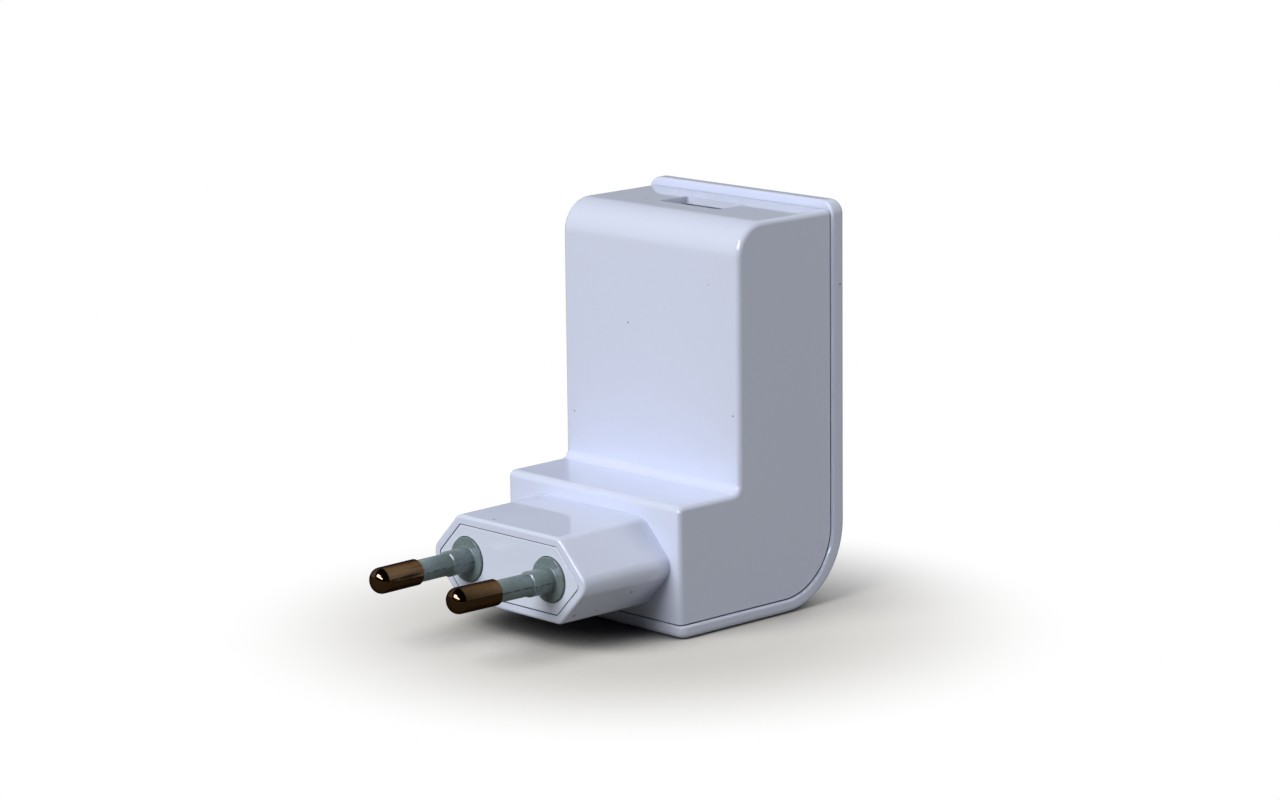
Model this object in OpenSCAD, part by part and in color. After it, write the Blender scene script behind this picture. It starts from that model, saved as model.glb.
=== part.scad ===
// USB wall charger: an L-shaped two-part case with a europlug nose at the foot and a USB port on top.
// Frame: +X to the right, -Y out of the pin tips, +Z up; the origin is the bottom centre of the whole.
// Inside the file every piece is drawn with y = 0 on the front of the foot, and placed() moves it.

/* [Case] */
// Width of the front housing, at the front of its foot
case_w = 38; // [37.6:0.2:44]
// Height of the front housing's top face above the table
case_h = 61.5; // [60.8:0.1:74]
// Depth from the front of the foot to the parting line at the back
case_d = 32.3; // [31.8:0.1:38]
// Height of the foot
foot_h = 20.4; // [20:0.2:23]
// How far the foot stands out in front of the upper block
foot_step = 12.6; // [10:0.2:13]
// Radius of the front top edge of the upper block
brow_r = 5.2; // [3:0.2:8]
// Radius in the corner between the foot and the upper block
throat_r = 1.4; // [0.8:0.1:3]
// Radius of the front top edge of the foot
toe_r = 1.1; // [0.9:0.1:2]
// Radius of the edges along both sides of the front housing
side_edge_r = 0.8; // [0.4:0.05:0.85]
// Draft of the side walls, wider towards the back
side_draft = 1; // [0:0.1:1.5]
// Wall thickness of the front housing
wall = 1.8; // [1.6:0.1:2]

/* [Back cover] */
// Thickness of the cover's back
cover_back_t = 2.7; // [2.2:0.1:3.2]
// Thickness of the cover's bottom
cover_base_t = 2.1; // [1.8:0.1:3]
// Outer radius of the bend between the cover's back and bottom
cover_bend_r = 12.8; // [11:0.2:14]
// Height of the rim that stands above the top face
cover_rim_h = 1.4; // [0.8:0.1:3]
// How far the cover stands out past the housing at each side
cover_ledge = 0.45; // [0.2:0.05:1]
// Radius of the cover's two upper corners
cover_corner_r = 2.2; // [1:0.1:4]
// Radius of the two front corners of the cover's bottom
cover_toe_r = 1.2; // [1.15:0.05:2]
// Radius of the cover's outer edges
cover_edge_r = 1; // [0.5:0.05:1.1]
// Radius of the cover's edges beside the seam
cover_front_r = 0.4; // [0.2:0.05:0.6]
// Open seam between the housing and the cover
seam = 0.2; // [0.1:0.01:0.3]
// Depth of the locating skirt that enters the housing
skirt_d = 1.6; // [1.2:0.1:1.8]
// Thickness of the locating skirt
skirt_t = 1.1; // [0.8:0.1:1.2]
// Clearance between the skirt and the housing wall
skirt_gap = 0.12; // [0.1:0.01:0.2]
// How far the snap hooks reach into the housing wall
hook_reach = 0.6; // [0.4:0.05:0.7]

/* [Plug nose] */
// Length of the nose from the foot to the plug face
nose_l = 17.45; // [16.5:0.1:18.5]
// Height of the nose at the plug face
nose_h = 13.3; // [13:0.1:13.8]
// Width of the nose at the plug face, from tip to tip
nose_w = 35.4; // [34.8:0.1:35.6]
// Width of the flat top of the nose
nose_flat_w = 22.6; // [21:0.1:24]
// Radius of the four upper and lower edges of the nose
nose_edge_r = 2; // [1.2:0.1:3]
// Radius of the two side tips of the nose
nose_tip_r = 2.4; // [1.6:0.1:3]
// Radius round the front of the nose
nose_front_r = 0.55; // [0.3:0.05:0.8]
// Draft of the nose, larger towards the foot
nose_draft = 0.5; // [0:0.1:0.8]
// Wall of the nose round the face plate
nose_wall = 1.35; // [1.2:0.05:1.6]
// Width of the ledge that the face plate seats on
nose_ledge = 0.9; // [0.6:0.1:1.2]
// Height of the pin centres above the table
pin_z = 10.9; // [10.6:0.1:11.4]

/* [Face plate and pins] */
// Thickness of the face plate
plate_t = 3.4; // [3.1:0.1:4.4]
// Groove left open all round the face plate
plate_gap = 0.13; // [0.1:0.01:0.2]
// Distance between the pin centres at the plug face
pin_pitch = 18.2; // [18:0.1:19.2]
// Distance between the pin centres at their tips
pin_tip_pitch = 17.1; // [17:0.1:18]
// How far the pins stand out of the plug face
pin_l = 19; // [18.5:0.1:19.5]
// Diameter of the bare metal end of each pin
pin_d = 4; // [3.9:0.02:4.06]
// Radius round the end of each pin
pin_end_r = 1.5; // [0.8:0.1:1.9]
// Diameter of the pin's core under the sleeve
pin_core_d = 2.5; // [2.2:0.1:2.8]
// Length of the sleeve in front of the plug face
sleeve_l = 10.6; // [10:0.1:11]
// Diameter of the sleeve's thin part
sleeve_d = 3.4; // [3.2:0.05:3.8]
// Length of the sleeve's thick root
sleeve_root_l = 4.5; // [3:0.1:6]
// Diameter of the sleeve's thick root
sleeve_root_d = 3.92; // [3.85:0.01:4.06]
// Diameter of the sleeve's flange on the plug face
flange_d = 6.9; // [6:0.1:8]
// How far the sleeve's flange stands out of the plug face
flange_out = 0.35; // [0.3:0.05:0.6]
// Depth of the recess in the face plate that the flange sits in
flange_seat = 0.25; // [0.2:0.05:0.4]
// Gap left open round the flange
flange_gap = 0.12; // [0.08:0.01:0.2]
// Diameter of the sleeve's spigot in the face plate
spigot_d = 5.2; // [4.6:0.1:5.6]
// Length of the sleeve's spigot in the face plate
spigot_l = 3; // [2:0.1:3]
// Diameter of the pin bosses behind the face plate
boss_d = 7.4; // [6.6:0.1:8]
// Length of the pin bosses behind the face plate
boss_l = 5.2; // [4:0.1:6]
// Length of the pin's solder tail behind the boss
tail_l = 3.9; // [2:0.1:4.5]
// Diameter of the pin's solder tail
tail_d = 2; // [1.6:0.1:2.4]
// Clearance round parts that are pressed together
press_gap = 0.03; // [0.02:0.01:0.05]

/* [USB port] */
// Width of the slot in the top face
slot_w = 13; // [12.9:0.1:14]
// Depth of the slot in the top face, front to back
slot_d = 6.1; // [5.9:0.1:6.8]
// Corner radius of the slot
slot_r = 0.5; // [0.2:0.1:1]
// Distance of the slot's centre in front of the parting line
slot_inset = 7.9; // [7.6:0.1:8.6]
// Thickness of the top wall round the slot
slot_wall = 1.15; // [1:0.05:1.4]
// Outer width of the receptacle's metal shell
shell_w = 13.1; // [13:0.05:13.3]
// Outer height of the receptacle's metal shell, front to back
shell_h = 5.72; // [5.65:0.01:5.85]
// Length of the receptacle's metal shell
shell_l = 13; // [12:0.1:13.2]
// Sheet thickness of the receptacle's metal shell
shell_t = 0.3; // [0.25:0.05:0.35]
// Gap of the receptacle below the inside of the top wall
shell_drop = 0.15; // [0.1:0.05:0.3]
// Height of the receptacle above the board
shell_standoff = 0.4; // [0.3:0.05:0.5]
// Width of the contact tongue
tongue_w = 11.1; // [10.9:0.1:11.3]
// Thickness of the contact tongue
tongue_t = 1.84; // [1.7:0.02:1.9]
// Distance from the mouth of the shell to the tongue
tongue_drop = 2.2; // [2:0.1:3]
// Width of one contact strip
contact_w = 1; // [0.8:0.05:1.2]
// Thickness of one contact strip
contact_t = 0.2; // [0.15:0.05:0.3]

/* [Circuit board] */
// Thickness of the board
board_t = 1.2; // [1:0.1:1.4]
// Height of the board's lower edge above the table
board_z = 12.6; // [12:0.1:12.8]
// Width of the guide rails at each side of the board
rail_reach = 2.1; // [1.9:0.1:2.2]
// Thickness of each guide rail
rail_t = 1; // [0.8:0.1:1.1]
// Clearance of the board in its guide rails
board_gap = 0.1; // [0.05:0.01:0.15]
// Diameter of the component leads
lead_d = 0.6; // [0.5:0.05:0.7]
// Clearance of the leads in the board's holes
lead_gap = 0.1; // [0.05:0.01:0.15]
// How far the leads stand out behind the board
lead_stub = 1; // [0.6:0.1:1.4]
// How far the leads run up into a component's body
lead_root = 0.6; // [0.4:0.1:1]
// Thickness of the insulation sheet inside the cover
sheet_t = 0.25; // [0.2:0.05:0.4]

/* [Components] */
// Gap between neighbouring parts along the board
part_gap = 1.1; // [0.8:0.05:1.2]
// Gap between the board's lower edge and the lowest parts
edge_gap = 2.3; // [1.6:0.1:3]
// Gap between the high-voltage capacitors and the transformer
creepage = 3.3; // [2.5:0.1:4]
// Diameter of the two high-voltage capacitors
bulk_d = 8.6; // [8:0.1:9.4]
// Room in front of the two high-voltage capacitors
bulk_front = 1.66; // [0.5:0.05:4]
// Diameter of the two output capacitors
outcap_d = 6.3; // [5:0.1:7]
// Room in front of the two output capacitors
outcap_front = 2.26; // [0.5:0.05:4]
// Room in front of the transformer
coil_front = 0.86; // [0.5:0.05:1.5]
// Height of the windings above the board
coil_lift = 1.6; // [1.2:0.1:2.2]
// Thickness of the windings and their bobbin, in front of and behind the core
coil_build = 2.3; // [2:0.1:2.6]
// Width of the transformer core
core_w = 13; // [11.8:0.1:14]
// Width of the transformer core's outer legs
core_leg = 1.6; // [1.4:0.1:1.8]
// Width of the transformer core's centre leg
core_mid = 2.8; // [2.6:0.1:3.2]
// Thickness of the transformer core's end bars
core_bar = 2.2; // [2:0.1:2.6]
// Wall thickness of the transformer bobbin
bobbin_t = 0.7; // [0.5:0.05:0.8]
// Thickness of the tape round the windings
tape_t = 0.2; // [0.15:0.01:0.25]
// Diameter of the suppression capacitor's disc
disc_d = 7.6; // [6:0.1:7.8]
// Thickness of the suppression capacitor's disc
disc_t = 3.4; // [2.5:0.1:3.8]
// Diameter of the input choke
choke_d = 5.6; // [5:0.1:5.8]
// Height of the input choke
choke_h = 7.5; // [6:0.1:9]
// Diameter of the fusible resistor's body
fuse_d = 3.2; // [2.5:0.1:3.6]
// Length of the fusible resistor's body
fuse_l = 8; // [7:0.1:8.4]
// Length of the controller chip's body
chip_l = 4.9; // [4:0.1:5.2]
// Width of the controller chip's body
chip_w = 3.9; // [3:0.1:4]
// Thickness of the controller chip's body
chip_t = 1.45; // [1:0.05:1.6]
// Length of the optocoupler's body
opto_l = 4.6; // [4:0.1:5]
// Width of the optocoupler's body
opto_w = 4.4; // [4:0.1:5]
// Diameter of the output diode's body
diode_d = 2.7; // [2.3:0.1:2.9]
// Length of the output diode's body
diode_l = 7.5; // [6:0.1:9]
// Diameter of the two mains leads
wire_d = 1.8; // [1.4:0.1:2]

/* [Hidden] */
$fn = 48;

overlap = 0.5;      // how far joined solids run into each other
through = 1;        // how far a cut runs past a face
case_y = (pin_l + nose_l - case_d - cover_back_t) / 2;   // puts the origin in the middle of the depth

half_w = case_w / 2;
draft_k = tan(side_draft) / half_w;
in_w = half_w - wall;                       // inner half width at the front of the foot
top_in = case_h - wall;                     // underside of the top wall
nose_half = [nose_w / 2, nose_flat_w / 2, nose_h / 2];
bend_in_r = cover_bend_r - cover_back_t;    // inner radius of the cover's bend
cover_back = case_d + cover_back_t;
cover_top = case_h + cover_rim_h;
cover_half = half_w + cover_ledge;
pin_tilt = asin((pin_pitch - pin_tip_pitch) / 2 / pin_l);

slot_y = case_d - slot_inset;
board_y = slot_y + shell_h / 2 + shell_standoff;          // the board's component side
rail_x = in_w - rail_reach;                               // inner edge of the guide rails
rail_bite = 0.9;                                          // how far the board runs into the rails
board_w = 2 * (rail_x + rail_bite);
board_top = top_in - 0.6;
shell_top = top_in - shell_drop;
shell_low = shell_top - shell_l;
lead_len = board_t + lead_stub;
rail_z = [board_z + 2, board_top - 2];
block_room = board_y - foot_step - wall;                  // from the board to the upper block's front wall

bulk_z = board_z + edge_gap + bulk_d / 2;
bulk_top = bulk_z + bulk_d / 2;
bulk_h = block_room - bulk_front;
bulk_x = (fuse_d / 2 + rail_x) / 2;
side_x = (core_w / 2 + rail_x) / 2;                       // column of parts beside the transformer
choke_z = bulk_top + part_gap + choke_d / 2;
disc_z = choke_z + choke_d / 2 + part_gap + disc_d / 2;
chip_z = bulk_top + part_gap + chip_l / 2;
opto_z = chip_z + chip_l / 2 + 2 * part_gap + opto_l / 2;
outcap_z = shell_top - shell_l / 2;
outcap_x = (shell_w / 2 + rail_x) / 2;
outcap_h = block_room - outcap_front;
contact_foot = 1;                           // how far the contacts' feet lie below the shell
contact_z = shell_low - contact_foot;
diode_z = contact_z - contact_t - part_gap - diode_d / 2;

rail_over = 0.5;                            // how far the bobbin's terminal rails pass the core
coil_z = [bulk_top + creepage, diode_z - diode_d / 2 - part_gap];
mid_z = (coil_z[0] + coil_z[1]) / 2;        // height of the transformer's centre
core_h = coil_z[1] - coil_z[0] - 2 * rail_over;
core_t = block_room - coil_front - tape_t - 2 * coil_build - coil_lift;
winding_size = [core_w - 2 * core_leg - 0.6, core_t + 2 * coil_build];
core_y = board_y - coil_lift - winding_size[1] / 2;       // middle of the core, front to back
bobbin_h = core_h - 2 * core_bar - 0.2;
wire_end = [4, board_z + 1.7];

// ---- outlines with rounded corners ----
// A list of [a, b, radius, kind]. The kind is that of the edge that leaves the corner: 1 for an outer face,
// 0 for a parting face.

function unit(v) = v / norm(v);
function cross2(a, b) = a[0] * b[1] - a[1] * b[0];
function left_of(d) = [-d[1], d[0]];
function turned(p, angle) =
    [p[0] * cos(angle) - p[1] * sin(angle), p[0] * sin(angle) + p[1] * cos(angle)];
function flat(v) = [v[0], v[1]];
function wrap(list, i) = list[(i + len(list)) % len(list)];
function heading(o, i) = unit(flat(wrap(o, i + 1)) - flat(wrap(o, i)));
function meet(p, d, q, e) = p + d * cross2(q - p, e) / cross2(d, e);
// inset of the edge that leaves corner i: skin on outer faces (kind 1), part on parting faces (kind 0)
function edge_inset(o, i, skin, part) = wrap(o, i)[3] == 1 ? skin : part;
function inset_corner(o, i, skin, part) =
    let (b = flat(wrap(o, i)), d = heading(o, i - 1), e = heading(o, i))
    meet(b + left_of(d) * edge_inset(o, i - 1, skin, part), d,
         b + left_of(e) * edge_inset(o, i, skin, part), e);
function inset_radius(o, i, skin, part) =
    let (r = wrap(o, i)[2], side = cross2(heading(o, i - 1), heading(o, i)) > 0 ? -1 : 1,
         by = (edge_inset(o, i - 1, skin, part) + edge_inset(o, i, skin, part)) / 2)
    r == 0 ? 0 : max(r + side * by, 0.05);
function corner_steps(r) = r > 3 ? 12 : 6;
function bend(a, b, c, r, steps) =
    r == 0 ? [b] :
    let (u = unit(a - b), v = unit(c - b), half = acos(u * v) / 2,
         middle = b + unit(u + v) * r / sin(half), start = b + u * r / tan(half) - middle,
         sweep = (180 - 2 * half) * (cross2(b - a, c - b) > 0 ? 1 : -1))
    [for (i = [0:steps]) middle + turned(start, sweep * i / steps)];
function outline(o, skin = 0, part = 0) =
    let (n = len(o), c = [for (i = [0:n - 1]) inset_corner(o, i, skin, part)])
    [for (i = [0:n - 1]) each bend(wrap(c, i - 1), c[i], wrap(c, i + 1),
                                   inset_radius(o, i, skin, part), corner_steps(o[i][2]))];

// ---- solids made from rings of points, each ring with as many points as the next ----

// The end caps are fans round one point each, in the middle of the ring unless hubs names them.
// With strips they are bands across the ring, whose second half mirrors its first.
function middle(ring) = [for (p = ring) 1] * ring / len(ring);
module ring_stack(rings, hubs = [], strips = false) {
    n = len(rings[0]);
    m = len(rings);
    last = (m - 1) * n;
    ends = len(hubs) == 2 ? hubs : [middle(rings[0]), middle(rings[m - 1])];
    sides = [for (j = [0:m - 2], i = [0:n - 1])
             let (k = (i + 1) % n, a = j * n, b = a + n)
             each [[a + i, b + i, a + k], [a + k, b + i, b + k]]];
    fans = [for (i = [0:n - 1])
            let (k = (i + 1) % n)
            each [[i, k, m * n], [last + k, last + i, m * n + 1]]];
    bands = [for (i = [0:n / 2 - 2])
             let (k = n - 1 - i)
             each [[i, i + 1, k - 1, k], [last + k, last + k - 1, last + i + 1, last + i]]];
    polyhedron(concat([for (r = rings) each r], strips ? [] : ends), concat(sides, strips ? bands : fans));
}
function drafted(x, p) = [x * (1 + draft_k * p[0]), p[0], p[1]];
function side_ring(x, points) = [for (p = points) drafted(x, p)];
// a plate between two half widths, with the case's draft
module side_slab(points, x0, x1, hub = []) {
    hubs = len(hub) == 2 ? [drafted(x0, hub), drafted(x1, hub)] : [];
    ring_stack([side_ring(x0, points), side_ring(x1, points)], hubs);
}

module placed() translate([0, case_y, 0]) children();
// extrudes an XZ outline along Y, from y0 for a length
module along_y(y0, length)
    translate([0, y0 + length, 0]) rotate([90, 0, 0]) linear_extrude(length) children();
module rounded_rect(size, r) {
    square([size[0] - 2 * r, size[1]], center = true);
    square([size[0], size[1] - 2 * r], center = true);
    for (x = [-1, 1], y = [-1, 1])
        translate([x * (size[0] / 2 - r), y * (size[1] / 2 - r)]) circle(r);
}
module box(low, high) translate(low) cube(high - low);

// ---- case ----

// side outline of the front housing
housing_side = [[0, cover_base_t + seam, 0, 0],
                [case_d - seam, cover_base_t + seam, bend_in_r, 0],
                [case_d - seam, case_h, 0, 1], [foot_step, case_h, brow_r, 1],
                [foot_step, foot_h, throat_r, 1], [0, foot_h, toe_r, 1]];
// a point in the heel of the L that sees the whole outline
heel = 6;
housing_hub = [foot_step + heel, foot_h - heel - 1];
quarter = [0:15:90];                        // angles round a rounded edge
housing_rings = concat([for (a = quarter) [-1, 90 - a]], [for (a = quarter) [1, a]]);

module housing_outside() {
    ring_stack([for (k = housing_rings)
                side_ring(k[0] * (half_w - side_edge_r * (1 - sin(k[1]))),
                          outline(housing_side, side_edge_r * (1 - cos(k[1])), 0))],
               [for (s = [-1, 1]) drafted(s * half_w, housing_hub)]);
    ring_stack([for (k = nose_rings) [for (p = nose_outline(k[1])) [p[0], k[0], pin_z + p[1]]]]);
}
module housing_cavity() side_slab(outline(housing_side, wall, -through), -in_w, in_w, housing_hub);

// front view of the nose, about the pins' height
nose_front = [[nose_half[0], 0, nose_tip_r, 1], [nose_half[1], nose_half[2], nose_edge_r, 1],
              [-nose_half[1], nose_half[2], nose_edge_r, 1], [-nose_half[0], 0, nose_tip_r, 1],
              [-nose_half[1], -nose_half[2], nose_edge_r, 1], [nose_half[1], -nose_half[2], nose_edge_r, 1]];
function nose_outline(inset) = outline(nose_front, inset, 0);
function nose_growth(y) = (y + nose_l) * tan(nose_draft);
// from the foot to the plug face: [y, inset]
nose_rings = concat([[overlap, -nose_growth(overlap)]],
                    [for (a = quarter) let (y = -nose_l + nose_front_r * (1 - sin(a)))
                     [y, nose_front_r * (1 - cos(a)) - nose_growth(y)]]);

hook_w = 4;
hook_t = 0.7;
hook_low = 24;                              // height of the lower pair of hooks
hook_drop = 16;                             // distance of the upper pair below the top face
hook_z = [hook_low, case_h - hook_drop];
hook_y = case_d - skirt_d / 2;
module hook_room(clear) {
    for (s = [-1, 1], z = hook_z)
        translate([s * (in_w * (1 + draft_k * hook_y) - skirt_gap), hook_y, z])
            cube([2 * (hook_reach + skirt_gap + clear), hook_t + 2 * clear, hook_w + 2 * clear],
                 center = true);
}
// the slot, and the pocket that thins the wall round it
slot_rim = 1;
module usb_slot() translate([0, slot_y, top_in - through]) {
    linear_extrude(wall + 2 * through) rounded_rect([slot_w, slot_d], slot_r);
    linear_extrude(through + wall - slot_wall)
        rounded_rect([slot_w + 2 * slot_rim, slot_d + 2 * slot_rim], slot_r + slot_rim);
}

module guide_rails() {
    for (s = [0, 1], y = [board_y - board_gap - rail_t, board_y + board_t + board_gap])
        mirror([s, 0, 0])
            box([rail_x, y, rail_z[0]], [in_w * (1 + draft_k * y) + overlap, y + rail_t, rail_z[1]]);
}
module front_housing() {
    color("gainsboro") placed() {
        difference() {
            housing_outside();
            housing_cavity();
            along_y(-nose_l - through, plate_t + through)
                translate([0, pin_z]) polygon(nose_outline(nose_wall));
            along_y(-nose_l, nose_l + wall + overlap)
                translate([0, pin_z]) polygon(nose_outline(nose_wall + nose_ledge));
            for (s = [-1, 1]) pin_frame(s) rod(-plate_t - boss_l - through, -plate_t, boss_d + 2 * plate_gap);
            usb_slot();
            hook_room(skirt_gap);
        }
        guide_rails();
    }
}

// Stations along the cover's bent plate, from the foot to the rim:
// [inside point, outside point, way to the nearer end, radius of the corners there, angle round them].
function on_arc(centre, r, angle) = centre + r * [sin(angle), -cos(angle)];
bend_out = [cover_back - cover_bend_r, cover_bend_r];
bend_in = [case_d - bend_in_r, cover_base_t + bend_in_r];
rim_z = cover_top - cover_corner_r;
cover_stations = concat(
    [for (a = quarter) [[cover_toe_r, cover_base_t], [cover_toe_r, 0], [-1, 0], cover_toe_r, 90 - a]],
    [for (a = [0:7.5:90]) [on_arc(bend_in, bend_in_r, a), on_arc(bend_out, cover_bend_r, a),
                           [0, 0], cover_corner_r, 0]],
    [for (a = quarter) [[case_d, rim_z], [cover_back, rim_z], [0, 1], cover_corner_r, a]]);
// the plate's rounded edge, from the inside to the outside: [inset, distance from the inside]
function plate_edge(t) = concat(
    [for (a = quarter) cover_front_r * [1 - sin(a), 1 - cos(a)]],
    [for (a = quarter) [0, t] + cover_edge_r * [1 - cos(a), sin(a) - 1]]);
function station_ring(s) =
    let (t = norm(s[1] - s[0]), out = unit(s[1] - s[0]), r = s[3],
         half = [for (e = plate_edge(t)) [cover_half - r + (r - e[0]) * cos(s[4]),
                                          s[0] + out * e[1] + s[2] * (r - e[0]) * sin(s[4])]])
    concat([for (q = half) drafted(q[0], q[1])],
           [for (i = [len(half) - 1:-1:0]) drafted(-half[i][0], half[i][1])]);

module cover_skirt() {
    tall = [[wall + skirt_gap, cover_base_t - overlap, 0, 0],
            [case_d + overlap, cover_base_t - overlap, bend_in_r, 0],
            [case_d + overlap, top_in - skirt_gap, 0, 1], [wall + skirt_gap, top_in - skirt_gap, 0, 1]];
    inner = [[-through, cover_base_t + skirt_d, 0, 0],
             [case_d - skirt_d, cover_base_t + skirt_d, bend_in_r - skirt_d, 0],
             [case_d - skirt_d, case_h, 0, 1], [-through, case_h, 0, 1]];
    x1 = in_w - skirt_gap;
    middle_x = x1 - skirt_t / 2;
    for (s = [-1, 1])
        difference() {
            side_slab(outline(tall), s * middle_x - skirt_t / 2, s * middle_x + skirt_t / 2);
            side_slab(outline(inner), -half_w, half_w);
        }
    box([-x1 + overlap, case_d - skirt_d, top_in - skirt_gap - skirt_t],
        [x1 - overlap, case_d + overlap, top_in - skirt_gap]);
    box([-x1 + overlap, wall + skirt_gap, cover_base_t - overlap],
        [x1 - overlap, wall + skirt_gap + skirt_t, cover_base_t + skirt_d]);
}
module back_cover() {
    color("gainsboro") placed() {
        ring_stack([for (s = cover_stations) station_ring(s)], strips = true);
        cover_skirt();
        hook_room(0);
    }
}

// ---- plug ----

// local +Z points out along a pin, from its centre on the plug face
module pin_frame(side)
    translate([side * pin_pitch / 2, -nose_l, pin_z]) rotate([90, 0, -side * pin_tilt]) children();
// the same place, square to the plug face
module face_frame(side) translate([side * pin_pitch / 2, -nose_l, pin_z]) rotate([90, 0, 0]) children();
module rod(z0, z1, d) translate([0, 0, z0]) cylinder(h = z1 - z0, d = d);
// how far a pin has drifted sideways at a distance behind the plug face
function pin_drift(back) = back * sin(pin_tilt);

module face_plate() {
    color("gainsboro") placed() difference() {
        union() {
            along_y(-nose_l, plate_t) translate([0, pin_z]) polygon(nose_outline(nose_wall + plate_gap));
            for (s = [-1, 1]) pin_frame(s) rod(-plate_t - boss_l, -overlap, boss_d);
        }
        for (s = [-1, 1]) pin_frame(s) {
            rod(-spigot_l - press_gap, through, spigot_d + 2 * press_gap);
            rod(-plate_t - boss_l - through, 0, pin_d + 2 * press_gap);
        }
        for (s = [-1, 1]) face_frame(s) rod(-flange_seat, through, flange_d + 2 * flange_gap);
    }
}
module pin(side) {
    end_points = [for (a = quarter)
                  [pin_d / 2 - pin_end_r * (1 - cos(a)), pin_l - pin_end_r * (1 - sin(a))]];
    color("peru") placed() pin_frame(side) {
        rotate_extrude() polygon(concat([[0, sleeve_l], [pin_d / 2, sleeve_l]], end_points, [[0, pin_l]]));
        rod(-spigot_l - press_gap - overlap, sleeve_l + overlap, pin_core_d);
        rod(-plate_t - boss_l, -spigot_l - 2 * press_gap, pin_d);
        rod(-plate_t - boss_l - tail_l, -plate_t - boss_l + overlap, tail_d);
    }
}
module pin_sleeve(side) {
    step_l = 0.5;
    color("lightsteelblue") placed() difference() {
        union() {
            pin_frame(side) {
                rod(-spigot_l, flange_out, spigot_d);
                rod(0, sleeve_root_l - step_l, sleeve_root_d);
                translate([0, 0, sleeve_root_l - step_l])
                    cylinder(h = step_l, d1 = sleeve_root_d, d2 = sleeve_d);
                rod(sleeve_root_l, sleeve_l - press_gap, sleeve_d);
            }
            face_frame(side) rod(-flange_seat, flange_out, flange_d);
        }
        pin_frame(side) rod(-spigot_l - through, sleeve_l + through, pin_core_d + 2 * press_gap);
    }
}
// an insulated lead that swings from a pin's tail to its hole in the board
module mains_lead(side) {
    sides = 8;
    steps = 20;
    tail = plate_t + boss_l + tail_l;
    tail_end = tail * cos(pin_tilt) + tail_d / 2 * sin(pin_tilt);
    from = [side * (pin_pitch / 2 + pin_drift(tail)), -nose_l + tail_end, pin_z];
    to = [side * wire_end[0], board_y, wire_end[1]];
    function ease(t) = t * t * (3 - 2 * t);
    function route(t) = [from[0] + (to[0] - from[0]) * ease(t), from[1] + (to[1] - from[1]) * t,
                         from[2] + (to[2] - from[2]) * ease(t)];
    color("dimgray") placed() ring_stack(
        [for (j = [0:steps]) let (p = route(j / steps))
         [for (i = [0:sides - 1]) p + wire_d / 2 * [cos(-360 * i / sides), 0, sin(-360 * i / sides)]]]);
}

// ---- circuit board ----

// stands a component on the board: local XY lies on the board as X and Z, local +Z points away from it
module on_board(x, z) translate([x, board_y, z]) rotate([90, 0, 0]) children();
module on_back(x, z) translate([x, board_y + board_t, z]) rotate([-90, 0, 0]) children();
module leads(points, up)
    for (p = points) translate([p[0], p[1], -lead_len]) cylinder(h = lead_len + up, d = lead_d);
function moved(points, x, z) = [for (p = points) [p[0] + x, p[1] + z]];

pair_x = [[-1.75, 0], [1.75, 0]];
fuse_leads = [[0, -fuse_l / 2 - 0.7], [0, fuse_l / 2 + 0.7]];
diode_leads = [[-diode_l / 2 - 1, 0], [diode_l / 2 + 1, 0]];
disc_leads = [[0, -2.5], [0, 2.5]];
opto_leads = [for (x = [-1, 1], z = [-1.27, 1.27]) [x * (opto_w / 2 + 0.2), z]];
bobbin_leads = [for (i = [-1.5:1.5], s = [-1, 1]) [i * 3, s * (core_h / 2 + rail_over - 0.9)]];
contact_xs = [-3.5, -1, 1, 3.5];
contact_leads = [for (x = contact_xs) [x, contact_z]];
board_leads = concat(moved(pair_x, -bulk_x, bulk_z), moved(pair_x, bulk_x, bulk_z),
                     moved(fuse_leads, 0, bulk_z),
                     moved(pair_x, -side_x, choke_z), moved(disc_leads, -side_x, disc_z),
                     moved(opto_leads, side_x, opto_z), moved(bobbin_leads, 0, mid_z),
                     moved(diode_leads, 0, diode_z), moved(pair_x, -outcap_x, outcap_z),
                     moved(pair_x, outcap_x, outcap_z), contact_leads);
tab_w = 1.2;                                // width of the shell's solder tabs
tab_room = 0.5;
tab_z = [outcap_z - shell_l / 4, outcap_z + shell_l / 4];

module circuit_board() {
    color("darkgreen") placed() difference() {
        box([-board_w / 2, board_y, board_z], [board_w / 2, board_y + board_t, board_top]);
        for (p = board_leads)
            translate([p[0], board_y + board_t + through, p[1]]) rotate([90, 0, 0])
                cylinder(h = board_t + 2 * through, d = lead_d + 2 * lead_gap);
        for (s = [-1, 1], z = tab_z)
            translate([s * (shell_w - shell_t) / 2, board_y, z])
                cube([shell_t + tab_room, 2 * board_t + through, tab_w + 2 * lead_gap + 0.2], center = true);
    }
}
module insulation_sheet() {
    x = in_w - skirt_gap - skirt_t - 0.4;
    low = cover_bend_r + 1;
    color("ivory") placed()
        box([-x, case_d - sheet_t, low], [x, case_d, top_in - skirt_gap - skirt_t - 0.3]);
}

// ---- components ----

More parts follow.
